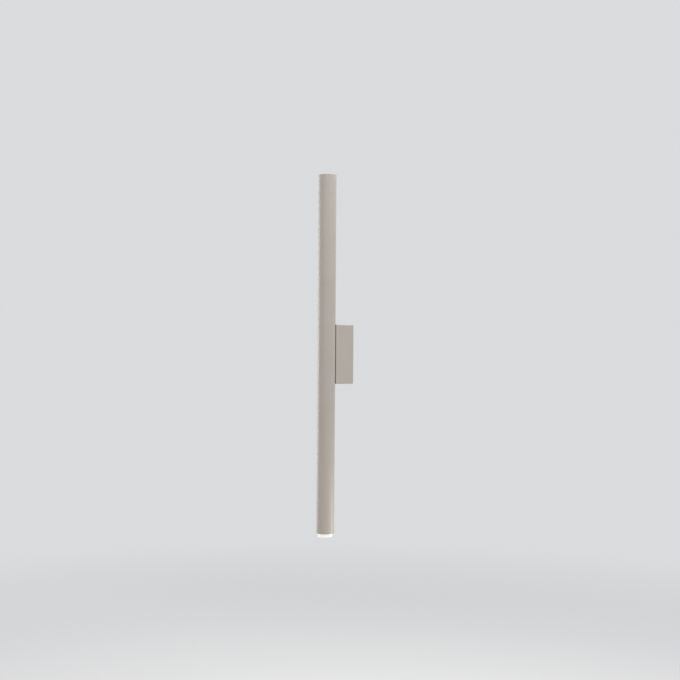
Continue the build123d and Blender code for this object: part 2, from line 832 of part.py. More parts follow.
def mains_lead(terminal_side, nipple_side):
    """From a pole of the terminal block, round behind the nut, through the nipple and down to the driver."""
    clamp_y = clamp_axis_depth()
    loop_y = pocket_floor + mains_loop_gap
    top = terminal_middle_height + terminal_length / 2
    knee = (top + nipple_height) / 2
    points = [
        (terminal_side, clamp_y, top - lead_entry),
        (terminal_side, clamp_y, top + lead_entry),
        (nipple_side, loop_y, knee + lead_entry),
        (nipple_side, loop_y, nipple_height),
        (nipple_side, tube_axis, nipple_height),
        (nipple_side, tube_axis, driver_top - driver_wall - lead_entry - push_in_depth),
    ]
    turns = [mains_turn_radius, mains_turn_radius, mains_turn_radius, nipple_turn_radius]
    return lead(points, mains_lead_diameter, turns)


def earth_lead(terminal_side):
    clamp_y = clamp_axis_depth()
    barrel_y = pocket_floor + tag_barrel_diameter / 2
    top = terminal_middle_height + terminal_length / 2
    barrel_foot, barrel_top = earth_barrel_span()
    points = [
        (terminal_side, clamp_y, top - lead_entry),
        (terminal_side, clamp_y, top + lead_entry / 2),
        (earth_side, barrel_y, barrel_foot - lead_entry / 2),
        (earth_side, barrel_y, (barrel_foot + barrel_top) / 2),
    ]
    return lead(points, mains_lead_diameter, [earth_turn_radius, earth_turn_radius])


led_lead_y = tube_axis - led_lead_offset
lead_end_height = tube_length / 2 - board_depth + led_lead_diameter
led_lead_start = driver_bottom + driver_wall + lead_entry + push_in_depth
loop_height = driver_bottom - led_loop_gap
return_height = loop_height - return_loop_gap


def upper_feed_lead():
    """Out of the driver's lower end, round and up in front of it to the upper lamp board."""
    x = led_lead_spacing / 2
    points = [
        (mains_lead_spacing / 2, tube_axis, led_lead_start),
        (mains_lead_spacing / 2, tube_axis, loop_height),
        (x, led_lead_y, loop_height),
        (x, led_lead_y, lead_end_height),
    ]
    turn = led_turn_share * led_lead_offset
    return lead(points, led_lead_diameter, [turn, turn])


def series_link_lead():
    """Straight from one lamp board to the other, because the two lamps are wired in series."""
    x = -led_lead_spacing / 2
    return lead([(x, led_lead_y, lead_end_height), (x, led_lead_y, -lead_end_height)], led_lead_diameter)


def lower_return_lead():
    """Out of the driver's lower end and down, sloping forward, to the lower lamp board."""
    x = led_lead_spacing / 2
    points = [
        (-mains_lead_spacing / 2, tube_axis, led_lead_start),
        (-mains_lead_spacing / 2, tube_axis, return_height),
        (x, led_lead_y, return_height - return_slope_height),
        (x, led_lead_y, -lead_end_height),
    ]
    turn = led_lead_offset
    return lead(points, led_lead_diameter, [turn, turn])


# ---------------------------------------------------------------- write the pieces

os.makedirs(parts_folder, exist_ok=True)
write("wall_bracket", wall_bracket())
write("cable_grommet", cable_grommet())
write("wall_box", wall_box())
write("upper_lock_screw", lock_screw(1))
write("lower_lock_screw", lock_screw(-1))
write("tube_body", tube_body())
write("saddle_gasket", saddle_gasket())
write("clamp_plate", clamp_plate())
write("saddle_screws", *saddle_screws())
write("wire_nipple", wire_nipple())
write("nipple_washer", nipple_washer())
write("nipple_nut", nipple_nut())
write("nipple_bushes", *nipple_bushes())
write("terminal_housing", terminal_housing())
write("terminal_clamps", *terminal_clamps())
write("terminal_screws", *terminal_screws())
write("terminal_fixing_screw", terminal_fixing_screw())
write("earth_screw", earth_screw())
write("earth_tag", earth_tag())
write("driver_tray", driver_tray())
write("driver_cover", driver_cover())
write("driver_board", driver_board())
write("driver_terminals", *driver_terminals())
write("driver_transformer", driver_transformer())
write("driver_capacitors", *driver_capacitors())
write("driver_choke", driver_choke())
write("driver_collars", *driver_collars())
for end_name, end in (("upper", 1), ("lower", -1)):
    write(f"{end_name}_ring", lens_ring(end))
    write(f"{end_name}_seal", seal(end))
    write(f"{end_name}_reflector", reflector(end))
    write(f"{end_name}_led_board", led_board(end))
    write(f"{end_name}_led_board_screws", *led_board_screws(end))
    write(f"{end_name}_led_chip", led_chip(end))
    write(f"{end_name}_led_phosphor", led_phosphor(end))
    write(f"{end_name}_heat_sink", heat_sink(end))
write("upper_glass", upper_glass())
write("lower_lens", lower_lens())
write("live_lead", mains_lead(pole_sides()[0], -mains_lead_spacing / 2))
write("neutral_lead", mains_lead(pole_sides()[1], mains_lead_spacing / 2))
write("earth_lead", earth_lead(pole_sides()[2]))
write("upper_feed_lead", upper_feed_lead())
write("series_link_lead", series_link_lead())
write("lower_return_lead", lower_return_lead())
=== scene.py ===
from math import asin, cos, pi, radians, sin, sqrt, tau

import bmesh
import bpy
from mathutils import Matrix, Vector


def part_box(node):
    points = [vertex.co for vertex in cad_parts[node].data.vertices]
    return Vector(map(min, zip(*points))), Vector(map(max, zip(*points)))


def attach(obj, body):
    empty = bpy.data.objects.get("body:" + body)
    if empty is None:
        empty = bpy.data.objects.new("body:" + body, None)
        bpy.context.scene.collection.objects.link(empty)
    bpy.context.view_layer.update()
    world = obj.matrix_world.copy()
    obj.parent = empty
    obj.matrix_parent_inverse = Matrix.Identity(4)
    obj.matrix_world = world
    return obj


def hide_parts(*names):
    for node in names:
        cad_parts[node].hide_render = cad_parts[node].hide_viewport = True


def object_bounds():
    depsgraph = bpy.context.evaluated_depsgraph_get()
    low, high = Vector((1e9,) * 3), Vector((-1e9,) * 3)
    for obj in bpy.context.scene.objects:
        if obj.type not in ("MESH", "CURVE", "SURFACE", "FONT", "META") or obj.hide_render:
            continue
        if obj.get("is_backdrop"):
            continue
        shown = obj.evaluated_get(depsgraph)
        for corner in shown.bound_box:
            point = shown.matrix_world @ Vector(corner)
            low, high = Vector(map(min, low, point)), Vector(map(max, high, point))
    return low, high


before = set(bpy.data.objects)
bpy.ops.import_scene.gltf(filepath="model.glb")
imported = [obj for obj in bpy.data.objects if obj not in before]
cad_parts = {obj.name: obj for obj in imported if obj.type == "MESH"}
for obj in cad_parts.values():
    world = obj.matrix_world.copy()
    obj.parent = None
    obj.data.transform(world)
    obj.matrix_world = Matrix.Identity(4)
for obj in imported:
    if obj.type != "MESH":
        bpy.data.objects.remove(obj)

cad_low, cad_high = (list(corner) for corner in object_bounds())
scene = bpy.context.scene
scene.view_settings.view_transform = "Standard"

# ---------------------------------------------------------------- the view
# The lamp is seen level, from its right front, as in the photograph: the tube stands a little left of the
# middle and leans a hair to the right, because the camera was not quite upright.

view_azimuth = radians(48.0)
view_distance = 1.829
view_roll = radians(0.4)
focal_pixels = 1091.0
picture_side = 680.0
sensor_width = 36.0
tube_left_of_middle = 13.65
lamp_below_middle = 14.1

tube_low, tube_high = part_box("tube_body")
tube_axis_y = (tube_low.y + tube_high.y) / 2
camera_data = bpy.data.cameras.new("camera")
camera_data.sensor_width = sensor_width
camera_data.lens = sensor_width * focal_pixels / picture_side
camera_data.shift_x = tube_left_of_middle / picture_side
camera_data.shift_y = lamp_below_middle / picture_side
camera = bpy.data.objects.new("camera", camera_data)
scene.collection.objects.link(camera)
camera.location.x = view_distance * sin(view_azimuth)
camera.location.y = tube_axis_y - view_distance * cos(view_azimuth)
level = Matrix.Rotation(view_azimuth, 4, "Z") @ Matrix.Rotation(pi / 2, 4, "X")
camera.rotation_euler = (level @ Matrix.Rotation(view_roll, 4, "Z")).to_euler()
scene.camera = camera

# ---------------------------------------------------------------- floor and light
# A plain pale floor well below the lamp, which fades into an equally pale background and is clear from
# underneath. Large soft panels light the lamp, and two small ones behind it stand in for the glow that a
# wall throws back on the tube's ends.

floor_drop = 0.42
floor_radius = 2.6
floor_segments = 96
fade_start = 0.30
fade_end = 0.98
floor_colour = (0.93, 0.935, 0.94)
backdrop_colour = (0.70, 0.71, 0.725)
backdrop_strength = 1.0
ambient_colour = (0.985, 0.99, 1.0)
ambient_strength = 0.42
lamp_white = (1.0, 0.995, 0.985)
opaque = 1.0


def feed(tree, socket, value):
    """Links a socket to another one, or sets its number, vector or colour."""
    if isinstance(value, bpy.types.NodeSocket):
        tree.links.new(value, socket)
    elif socket.type == "RGBA":
        socket.default_value = (*value, opaque)
    else:
        socket.default_value = value


def new_node(tree, kind, **values):
    """A shader node with some of its sockets fed."""
    node = tree.nodes.new("ShaderNode" + kind)
    for label, value in values.items():
        feed(tree, node.inputs[label], value)
    return node


def calc(tree, operation, *values, kind="Math", result="Value"):
    """The result of a Math node on numbers or sockets."""
    node = new_node(tree, kind)
    node.operation = operation
    for socket, value in zip(node.inputs, values):
        feed(tree, socket, value)
    return node.outputs[result]


def vector_calc(tree, operation, *values, result="Vector"):
    """The result of a Vector Math node on vectors or sockets."""
    return calc(tree, operation, *values, kind="VectorMath", result=result)


def ramp(tree, value, start, end, low=0.0, high=1.0):
    """A smooth change from low to high while the value goes from start to end."""
    node = new_node(tree, "MapRange", Value=value)
    node.interpolation_type = "SMOOTHSTEP"
    for label, number in zip(("From Min", "From Max", "To Min", "To Max"), (start, end, low, high)):
        feed(tree, node.inputs[label], number)
    return node.outputs["Result"]


def empty_tree(owner):
    """The node tree of a material or world, without its first nodes."""
    owner.use_nodes = True
    owner.node_tree.nodes.clear()
    return owner.node_tree


def send_mix(tree, output, share, first, second):
    """Sends two shaders, mixed by a share, to the output."""
    mixed = new_node(tree, "MixShader", Fac=share)
    for socket, shader in zip(mixed.inputs[1:], (first, second)):
        feed(tree, socket, shader.outputs[0])
    new_node(tree, output, Surface=mixed.outputs["Shader"])


def soft_panel(name, azimuth, height, distance, size, watts, spread=180.0, aim=0.0):
    """A square light at an azimuth round the lamp, turned to face a height on it."""
    data = bpy.data.lights.new(name, "AREA")
    data.shape = "SQUARE"
    data.size = size
    data.energy = watts
    data.color = lamp_white
    data.spread = radians(spread)
    lamp = bpy.data.objects.new(name, data)
    scene.collection.objects.link(lamp)
    place = Vector((distance * sin(radians(azimuth)), -distance * cos(radians(azimuth)), height))
    lamp.location = place
    lamp.rotation_euler = (Vector((0, 0, aim)) - place).to_track_quat("-Z", "Y").to_euler()


floor_mesh = bmesh.new()
bmesh.ops.create_circle(floor_mesh, cap_ends=True, segments=floor_segments, radius=floor_radius)
bmesh.ops.translate(floor_mesh, verts=floor_mesh.verts, vec=(0, 0, cad_low[2] - floor_drop))
floor_data = bpy.data.meshes.new("floor")
floor_mesh.to_mesh(floor_data)
floor_mesh.free()
floor = bpy.data.objects.new("floor", floor_data)
scene.collection.objects.link(floor)
floor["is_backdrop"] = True

floor_material = bpy.data.materials.new("floor")
floor_data.materials.append(floor_material)
tree = empty_tree(floor_material)
middle_gap = vector_calc(tree, "LENGTH", new_node(tree, "TexCoord").outputs["Object"], result="Value")
fade = ramp(tree, middle_gap, start=floor_radius * fade_start, end=floor_radius * fade_end)
unseen = calc(tree, "MAXIMUM", fade, new_node(tree, "NewGeometry").outputs["Backfacing"])
matt = new_node(tree, "BsdfDiffuse", Color=floor_colour)
send_mix(tree, "OutputMaterial", unseen, matt, new_node(tree, "BsdfTransparent"))

world = bpy.data.worlds.new("studio")
scene.world = world
tree = empty_tree(world)
rays = new_node(tree, "LightPath").outputs
seen = calc(tree, "MAXIMUM", rays["Is Camera Ray"], rays["Is Glossy Ray"])
seen = calc(tree, "MAXIMUM", seen, rays["Is Transmission Ray"])
ambient = new_node(tree, "Background", Color=ambient_colour, Strength=ambient_strength)
backdrop = new_node(tree, "Background", Color=backdrop_colour, Strength=backdrop_strength)
send_mix(tree, "OutputWorld", seen, ambient, backdrop)

soft_panel("left_rim_panel", azimuth=-80.0, height=0.0, distance=2.0, size=1.6, watts=3.0, spread=60.0)
soft_panel("right_panel", azimuth=92.0, height=1.0, distance=1.7, size=1.2, watts=6.2)
soft_panel("front_panel", azimuth=40.0, height=1.3, distance=2.4, size=1.8, watts=11.4)
soft_panel("top_panel", azimuth=60.0, height=1.9, distance=0.3, size=1.3, watts=20.0)
soft_panel("upper_glow_panel", azimuth=160.0, height=0.72, distance=0.40, size=0.35, watts=2.4)
soft_panel(
    "lower_glow_panel", azimuth=135.0, height=-0.40, distance=0.25, size=0.20, watts=0.10, spread=80.0,
    aim=-0.30,
)

# ---------------------------------------------------------------- wall bracket
# A 2 mm steel strip folded forward at its top and bottom, on a wider plate that lies on the wall. It is
# punched with two slots for the wall's screws and a hole for the grommet, then zinc plated.
# Sizes here and below are in millimetres, and a piece becomes metres when it is finished.

millimetre = 0.001
tiny = 0.0001
crease = radians(32.0)
bracket_thickness = 2.0
fold_outer_radius = 3.0
fold_inner_radius = 1.0
flange_half_width = 7.0
flange_reach = 14.0
flange_height = 41.65
plate_half_width = 9.9
plate_half_height = 38.65
wall_slot_height = 30.0
wall_slot_radius = 2.25
wall_slot_half_run = 2.75
slot_segments = 48
grommet_hole_radius = 6.0
sheared_edge_round = 0.2
rolling_stretch = (8.0, 1.0, 0.5)
onto_y = Matrix.Rotation(-pi / 2, 4, "X")


def prism(outline, push):
    """A flat outline of points, pushed along a vector into a solid."""
    mesh = bmesh.new()
    face = mesh.faces.new([mesh.verts.new(point) for point in outline])
    grown = bmesh.ops.extrude_face_region(mesh, geom=[face])["geom"]
    corners = [item for item in grown if isinstance(item, bmesh.types.BMVert)]
    bmesh.ops.translate(mesh, vec=push, verts=corners)
    bmesh.ops.recalc_face_normals(mesh, faces=mesh.faces)
    return mesh


def block(x_span, y_span, z_span):
    """A plain block between two places on each axis, to cut or join with others."""
    mesh = bmesh.new()
    spans = (x_span, y_span, z_span)
    bmesh.ops.create_cube(mesh, size=1.0)
    bmesh.ops.scale(mesh, vec=[high - low for low, high in spans], verts=mesh.verts)
    bmesh.ops.translate(mesh, vec=[(low + high) / 2 for low, high in spans], verts=mesh.verts)
    return mesh


def rod(radius, low, high, segments=64):
    """A plain round or many-sided rod along Z."""
    mesh = bmesh.new()
    bmesh.ops.create_cone(
        mesh, cap_ends=True, segments=segments, radius1=radius, radius2=radius, depth=high - low
    )
    bmesh.ops.translate(mesh, vec=(0, 0, (low + high) / 2), verts=mesh.verts)
    return mesh


def placed(mesh, *moves):
    """The mesh after each move in turn."""
    for move in moves:
        bmesh.ops.transform(mesh, matrix=move, verts=mesh.verts)
    return mesh


def shift(x=0.0, y=0.0, z=0.0):
    return Matrix.Translation((x, y, z))


def drill(radius, low, high, x=0.0, z=0.0, segments=64):
    """A rod along Y, to cut a hole."""
    return placed(rod(radius, low, high, segments), onto_y, shift(x=x, z=z))


def edges_along(mesh, axis, test=lambda middle: True):
    """The edges that run along an axis and whose middle passes a test."""
    found = []
    for edge in mesh.edges:
        start, end = (corner.co for corner in edge.verts)
        if abs((end - start).normalized()[axis]) > 1 - tiny and test((start + end) / 2):
            found.append(edge)
    return found


def sharp_edges(mesh, least=40.0):
    return [edge for edge in mesh.edges if edge.is_manifold and edge.calc_face_angle() > radians(least)]


def rounded(mesh, edges, radius, segments=4):
    """The mesh with those edges rounded."""
    bmesh.ops.bevel(
        mesh, geom=edges, offset=radius, segments=segments, profile=0.5, affect="EDGES", material=-1,
        clamp_overlap=True,
    )
    return mesh


def combined(mesh, operation, *others):
    """A closed mesh with others cut from it, joined to it or kept in common with it."""
    for other in others:
        pair = []
        for part in (mesh, other):
            data = bpy.data.meshes.new("cutting")
            part.to_mesh(data)
            part.free()
            pair.append(bpy.data.objects.new("cutting", data))
            scene.collection.objects.link(pair[-1])
        boolean = pair[0].modifiers.new("cutting", "BOOLEAN")
        boolean.solver = "EXACT"
        boolean.operation = operation
        boolean.object = pair[1]
        mesh = bmesh.new()
        mesh.from_object(pair[0], bpy.context.evaluated_depsgraph_get())
        for used in pair:
            data = used.data
            bpy.data.objects.remove(used)
            bpy.data.meshes.remove(data)
    bmesh.ops.remove_doubles(mesh, verts=mesh.verts, dist=tiny)
    bmesh.ops.recalc_face_normals(mesh, faces=mesh.faces)
    return mesh


def piece(name, mesh, slot, replaced, *materials, body="lamp", weighted=False):
    """Finishes a mesh as an object in metres that rides on a body in place of a CAD node."""
    bmesh.ops.scale(mesh, vec=(millimetre, millimetre, millimetre), verts=mesh.verts)
    data = bpy.data.meshes.new(name)
    mesh.to_mesh(data)
    mesh.free()
    for stale in [layer for layer in data.attributes if layer.name == "custom_normal"]:
        data.attributes.remove(stale)
    data.shade_smooth()
    data.set_sharp_from_angle(angle=crease)
    for material in materials:
        data.materials.append(material)
    made = bpy.data.objects.new(name, data)
    scene.collection.objects.link(made)
    if weighted:
        made.modifiers.new("weighted", "WEIGHTED_NORMAL").keep_sharp = True
    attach(made, body)
    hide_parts(replaced)


def cloud(tree, place, size, detail=2.0):
    """Soft random patches of about the given size."""
    scale = calc(tree, "DIVIDE", 1.0, size)
    return new_node(tree, "TexNoise", Vector=place, Scale=scale, Detail=detail).outputs["Fac"]


def blend(tree, share, first, second):
    """One colour turning into another as the share goes from 0 to 1."""
    node = tree.nodes.new("ShaderNodeMix")
    node.data_type = "RGBA"
    feed(tree, node.inputs["Factor"], share)
    colours = [socket for socket in node.inputs if socket.type == "RGBA"]
    for socket, colour in zip(colours, (first, second)):
        feed(tree, socket, colour)
    return next(socket for socket in node.outputs if socket.type == "RGBA")


def new_group(name, given, made):
    """A shader node group with sockets of each kind, its input node's outputs and output node's inputs."""
    group = bpy.data.node_groups.new(name, "ShaderNodeTree")
    for way, kinds in (("INPUT", given), ("OUTPUT", made)):
        for label, kind in kinds.items():
            group.interface.new_socket(label, in_out=way, socket_type="NodeSocket" + kind)
    return group, group.nodes.new("NodeGroupInput").outputs, group.nodes.new("NodeGroupOutput").inputs


def place_group(tree, group, **given):
    """The group's outputs in a material, with the material's own values."""
    node = tree.nodes.new("ShaderNodeGroup")
    node.node_tree = group
    for label, value in given.items():
        feed(tree, node.inputs[label], value)
    return node.outputs


# Colour and gloss that drift in soft patches, as every coating and moulding does.
drift_kinds = {"Place": "Vector", "Colour": "Color", "Other": "Color"}
drift_kinds.update({label: "Float" for label in ("Size", "Gloss", "Swing")})
drift, given, made = new_group("colour_drift", drift_kinds, {"Colour": "Color", "Roughness": "Float"})
patches = cloud(drift, given["Place"], given["Size"], detail=3.0)
share = ramp(drift, patches, start=0.32, end=0.68)
feed(drift, made["Colour"], blend(drift, share, given["Colour"], given["Other"]))
swing = calc(drift, "MULTIPLY", calc(drift, "SUBTRACT", share, 0.5), given["Swing"])
feed(drift, made["Roughness"], calc(drift, "ADD", swing, given["Gloss"]))

# A fine random relief in two sizes: orange peel in a coating, or the texture of a mould or casting.
finer_size = 0.3
finer_height = 0.3
sized_place = {"Place": "Vector", "Size": "Float"}
grain, given, made = new_group("fine_grain", sized_place, {"Height": "Float", "Specks": "Float"})
coarse = cloud(grain, given["Place"], given["Size"], detail=1.5)
finer = cloud(grain, given["Place"], calc(grain, "MULTIPLY", given["Size"], finer_size), detail=1.0)
feed(grain, made["Height"], calc(grain, "MULTIPLY_ADD", finer, finer_height, coarse))
feed(grain, made["Specks"], ramp(grain, finer, start=0.60, end=0.72))

# Hairline marks from handling, in scattered patches.
scatter_size = 2.3
marks, given, made = new_group("hair_marks", sized_place, {"Mask": "Float"})
wander = cloud(marks, given["Place"], given["Size"], detail=1.0)
line = calc(marks, "ABSOLUTE", calc(marks, "SUBTRACT", wander, 0.5))
thin = ramp(marks, line, start=0.0, end=0.006, low=1.0, high=0.0)
patches = cloud(marks, given["Place"], calc(marks, "MULTIPLY", given["Size"], scatter_size), detail=1.0)
scatter = ramp(marks, patches, start=0.50, end=0.62)
feed(marks, made["Mask"], calc(marks, "MULTIPLY", thin, scatter))


def surface(material):
    return material.node_tree.nodes["Principled BSDF"].inputs


def pattern_space(material):
    return material.node_tree.nodes["millimetres"].outputs["Vector"]


def finish(name, colour, other, patch, gloss, swing, metallic=0.0, grain_size=None, grain_depth=None):
    """A material whose colour and gloss drift in patches, with its pattern space in millimetres."""
    material = bpy.data.materials.new(name)
    material.use_nodes = True
    tree, sockets = material.node_tree, surface(material)
    sockets["Metallic"].default_value = metallic
    space = new_node(tree, "VectorMath")
    space.name = "millimetres"
    space.operation = "SCALE"
    space.inputs["Scale"].default_value = 1 / millimetre
    tree.links.new(new_node(tree, "TexCoord").outputs["Object"], space.inputs[0])
    drifted = place_group(
        tree, drift, Place=pattern_space(material), Size=patch, Colour=colour, Other=other, Gloss=gloss,
        Swing=swing,
    )
    feed(tree, sockets["Base Color"], drifted["Colour"])
    feed(tree, sockets["Roughness"], drifted["Roughness"])
    if grain_size:
        add_grain(material, grain_size, grain_depth)
    return material


def press(material, height, depth):
    """Adds a pattern to the material's relief, to a depth in millimetres."""
    tree, normal = material.node_tree, surface(material)["Normal"]
    bump = new_node(tree, "Bump", Distance=depth * millimetre, Height=height)
    for earlier in normal.links:
        feed(tree, bump.inputs["Normal"], earlier.from_socket)
    feed(tree, normal, bump.outputs["Normal"])


def stain(material, mask, colour=None, gloss=None):
    """Changes the material's colour, its gloss or both where the mask is 1."""
    tree, sockets = material.node_tree, surface(material)
    if colour:
        before = sockets["Base Color"].links[0].from_socket
        feed(tree, sockets["Base Color"], blend(tree, mask, before, colour))
    if gloss:
        before = sockets["Roughness"].links[0].from_socket
        step = calc(tree, "MULTIPLY", calc(tree, "SUBTRACT", gloss, before), mask)
        feed(tree, sockets["Roughness"], calc(tree, "ADD", before, step))


def add_grain(material, size, depth):
    grained = place_group(material.node_tree, grain, Place=pattern_space(material), Size=size)
    press(material, grained["Height"], depth)
    return grained["Specks"]


def add_marks(material, size, gloss):
    marked = place_group(material.node_tree, marks, Place=pattern_space(material), Size=size)
    stain(material, marked["Mask"], gloss=gloss)


fold = flange_height - bracket_thickness
profile = [
    (-flange_reach, flange_height), (0, flange_height), (0, -flange_height), (-flange_reach, -flange_height),
    (-flange_reach, -fold), (-bracket_thickness, -fold), (-bracket_thickness, fold), (-flange_reach, fold),
]
bracket = prism([(-flange_half_width, *place) for place in profile], (2 * flange_half_width, 0, 0))
outer_folds = edges_along(bracket, 0, lambda middle: middle.y > -tiny)
rounded(bracket, outer_folds, fold_outer_radius, segments=8)
inner_folds = edges_along(bracket, 0, lambda middle: abs(middle.y + bracket_thickness) < tiny)
rounded(bracket, inner_folds, fold_inner_radius, segments=6)
flange_corners = edges_along(bracket, 2, lambda middle: middle.y < tiny - flange_reach)
rounded(bracket, flange_corners, bracket_thickness, segments=6)
plate = block(
    (-plate_half_width, plate_half_width), (-bracket_thickness, 0), (-plate_half_height, plate_half_height)
)
rounded(plate, edges_along(plate, 1), fold_inner_radius, segments=6)
punches = [drill(grommet_hole_radius, -flange_reach, flange_reach)]
for side in (1, -1):
    half_step = Matrix.Rotation(pi / slot_segments, 4, "Z")
    slot = placed(rod(wall_slot_radius, -flange_reach, flange_reach, slot_segments), half_step, onto_y)
    for corner in slot.verts:
        corner.co.z += wall_slot_half_run if corner.co.z > 0 else -wall_slot_half_run
    punches.append(placed(slot, shift(z=side * wall_slot_height)))
bracket = combined(combined(bracket, "UNION", plate), "DIFFERENCE", *punches)
rounded(bracket, sharp_edges(bracket), sheared_edge_round, segments=2)

zinc_plate = finish(
    "zinc_plate", colour=(0.60, 0.62, 0.64), other=(0.53, 0.565, 0.61),
    patch=9.0, gloss=0.34, swing=0.24, metallic=1.0
)
rolled = vector_calc(zinc_plate.node_tree, "MULTIPLY", pattern_space(zinc_plate), rolling_stretch)
press(zinc_plate, cloud(zinc_plate.node_tree, rolled, size=1.2, detail=3.0), depth=0.022)
add_grain(zinc_plate, size=0.7, depth=0.008)
add_marks(zinc_plate, size=9.0, gloss=0.55)
piece(
    "wall_bracket_plate", bracket, "bracket_steel", "wall_bracket", zinc_plate, body="wall_plate",
    weighted=True,
)

# ---------------------------------------------------------------- cable grommet
# A snap-in bush of black rubber that lines the bracket's hole, so that the plate's edge can't cut the
# supply cable. It is flush at the back, and its lip holds it from the front.

grommet_bore_radius = 4.0
grommet_body_radius = 5.97
grommet_lip_radius = 8.0
grommet_front = -3.5
grommet_lip_round = 0.5
grommet_bore_round = 0.35
grommet_back_round = 0.12
rubber_bloom = (0.085, 0.085, 0.088)
rim_reach = 0.01


def turned(outline, steps=96):
    """An outline of (radius, height) points spun into a solid round Z; ends on the axis close it."""
    mesh = bmesh.new()
    corners = [mesh.verts.new((radius, 0, height)) for radius, height in outline]
    pairs = zip(corners, corners[1:] + corners[:1])
    rims = [mesh.edges.new(pair) for pair in pairs if max(corner.co.x for corner in pair) > tiny]
    bmesh.ops.spin(
        mesh, geom=corners + rims, cent=(0, 0, 0), axis=(0, 0, 1), angle=tau, steps=steps, use_merge=True
    )
    bmesh.ops.remove_doubles(mesh, verts=mesh.verts, dist=tiny)
    bmesh.ops.recalc_face_normals(mesh, faces=mesh.faces)
    return mesh


def round_rim(mesh, rim_radius, height, radius, segments=4):
    """Rounds a turned piece's rim that lies at a radius and height."""

    def on_rim(place):
        return abs(place.xy.length - rim_radius) < rim_reach and abs(place.z - height) < rim_reach

    edges = [edge for edge in mesh.edges if all(on_rim(corner.co) for corner in edge.verts)]
    rounded(mesh, edges, radius, segments)


grommet = turned(
    [
        (grommet_bore_radius, 0), (grommet_body_radius, 0), (grommet_body_radius, -bracket_thickness),
        (grommet_lip_radius, -bracket_thickness), (grommet_lip_radius, grommet_front),
        (grommet_bore_radius, grommet_front),
    ]
)
round_rim(grommet, grommet_lip_radius, grommet_front, grommet_lip_round)
round_rim(grommet, grommet_bore_radius, grommet_front, grommet_bore_round)
round_rim(grommet, grommet_bore_radius, 0, grommet_bore_round)
round_rim(grommet, grommet_lip_radius, -bracket_thickness, grommet_back_round, segments=2)
placed(grommet, onto_y)

rubber = finish(
    "matt_rubber", colour=(0.020, 0.020, 0.021), other=(0.032, 0.032, 0.033),
    patch=3.0, gloss=0.72, swing=0.12
)
stain(rubber, add_grain(rubber, size=0.35, depth=0.02), rubber_bloom)
piece("wall_cable_grommet", grommet, "grommet_rubber", "cable_grommet", rubber, body="wall_plate")

# ---------------------------------------------------------------- wall box
# A small die-cast aluminium box, open at the wall, with its front hollowed to the tube's curve. Outside it
# is powder coated like the tube; inside it is bare metal with some coating blown in at its mouth.

box_half_width = 12.0
box_half_height = 50.0
box_depth = 40.0
box_edge_round = 1.6
mouth_edge_round = 0.3
saddle_radius = 16.0
pocket_half_width = 10.2
pocket_half_height = 48.2
pocket_floor = -33.02
pocket_corner_round = 0.8
boss_half_width = 5.0
boss_span = (-12.0, -4.0)
boss_foot = 44.2
lock_screw_y = -8.0
lock_hole_radius = 2.0
saddle_screw_height = 40.0
saddle_hole_radius = 2.1
nipple_height = 24.0
nipple_hole_radius = 5.1
tab_screw_height = -31.0
tab_hole_radius = 1.5
earth_side = 5.8
earth_height = 8.0
earth_hole_radius = 2.0
earth_hole_depth = 2.0
past_end = 1.0
overspray_span = (-2.0, 1.5)
overspray_swing = 4.0
overspray_gloss = 0.45
coat = (0.486, 0.441, 0.391)
coat_light = (0.500, 0.455, 0.406)
tube_axis = tube_axis_y / millimetre


def second_material(mesh, test):
    """Gives the faces whose middle passes a test the piece's second material."""
    for face in mesh.faces:
        face.material_index = int(test(face.calc_center_median()))


def in_pocket(middle):
    inside = abs(middle.x) < pocket_half_width + tiny and abs(middle.z) < pocket_half_height + tiny
    return inside and pocket_floor - tiny < middle.y < -tiny


box = block((-box_half_width, box_half_width), (-box_depth, 0), (-box_half_height, box_half_height))
outer_edges = [
    edge for axis in range(3) for edge in edges_along(box, axis, lambda middle: middle.y < -tiny)
]
rounded(box, outer_edges, box_edge_round, segments=8)
saddle = rod(saddle_radius, -2 * box_half_height, 2 * box_half_height, segments=256)
placed(saddle, shift(y=tube_axis))
pocket = block(
    (-pocket_half_width, pocket_half_width),
    (pocket_floor, past_end),
    (-pocket_half_height, pocket_half_height),
)
rounded(pocket, edges_along(pocket, 1), pocket_corner_round, segments=6)
box = combined(box, "DIFFERENCE", saddle, pocket)
for side in (1, -1):
    boss_heights = sorted((side * boss_foot, side * (box_half_height - past_end)))
    boss = block((-boss_half_width, boss_half_width), boss_span, boss_heights)
    hole_heights = sorted((side * (boss_foot - past_end), side * (box_half_height + past_end)))
    lock_hole = placed(rod(lock_hole_radius, *hole_heights), shift(y=lock_screw_y))
    saddle_hole = drill(saddle_hole_radius, -box_depth, 0, z=side * saddle_screw_height, segments=48)
    box = combined(combined(box, "UNION", boss), "DIFFERENCE", lock_hole, saddle_hole)
box = combined(
    box,
    "DIFFERENCE",
    drill(nipple_hole_radius, -box_depth, 0, z=nipple_height),
    drill(tab_hole_radius, -box_depth, 0, z=tab_screw_height, segments=40),
    drill(earth_hole_radius, pocket_floor - earth_hole_depth, 0, earth_side, earth_height, segments=48),
)
mouth_edges = [
    edge for edge in sharp_edges(box, least=60.0) if all(abs(corner.co.y) < tiny for corner in edge.verts)
]
rounded(box, mouth_edges, mouth_edge_round, segments=3)
second_material(box, in_pocket)

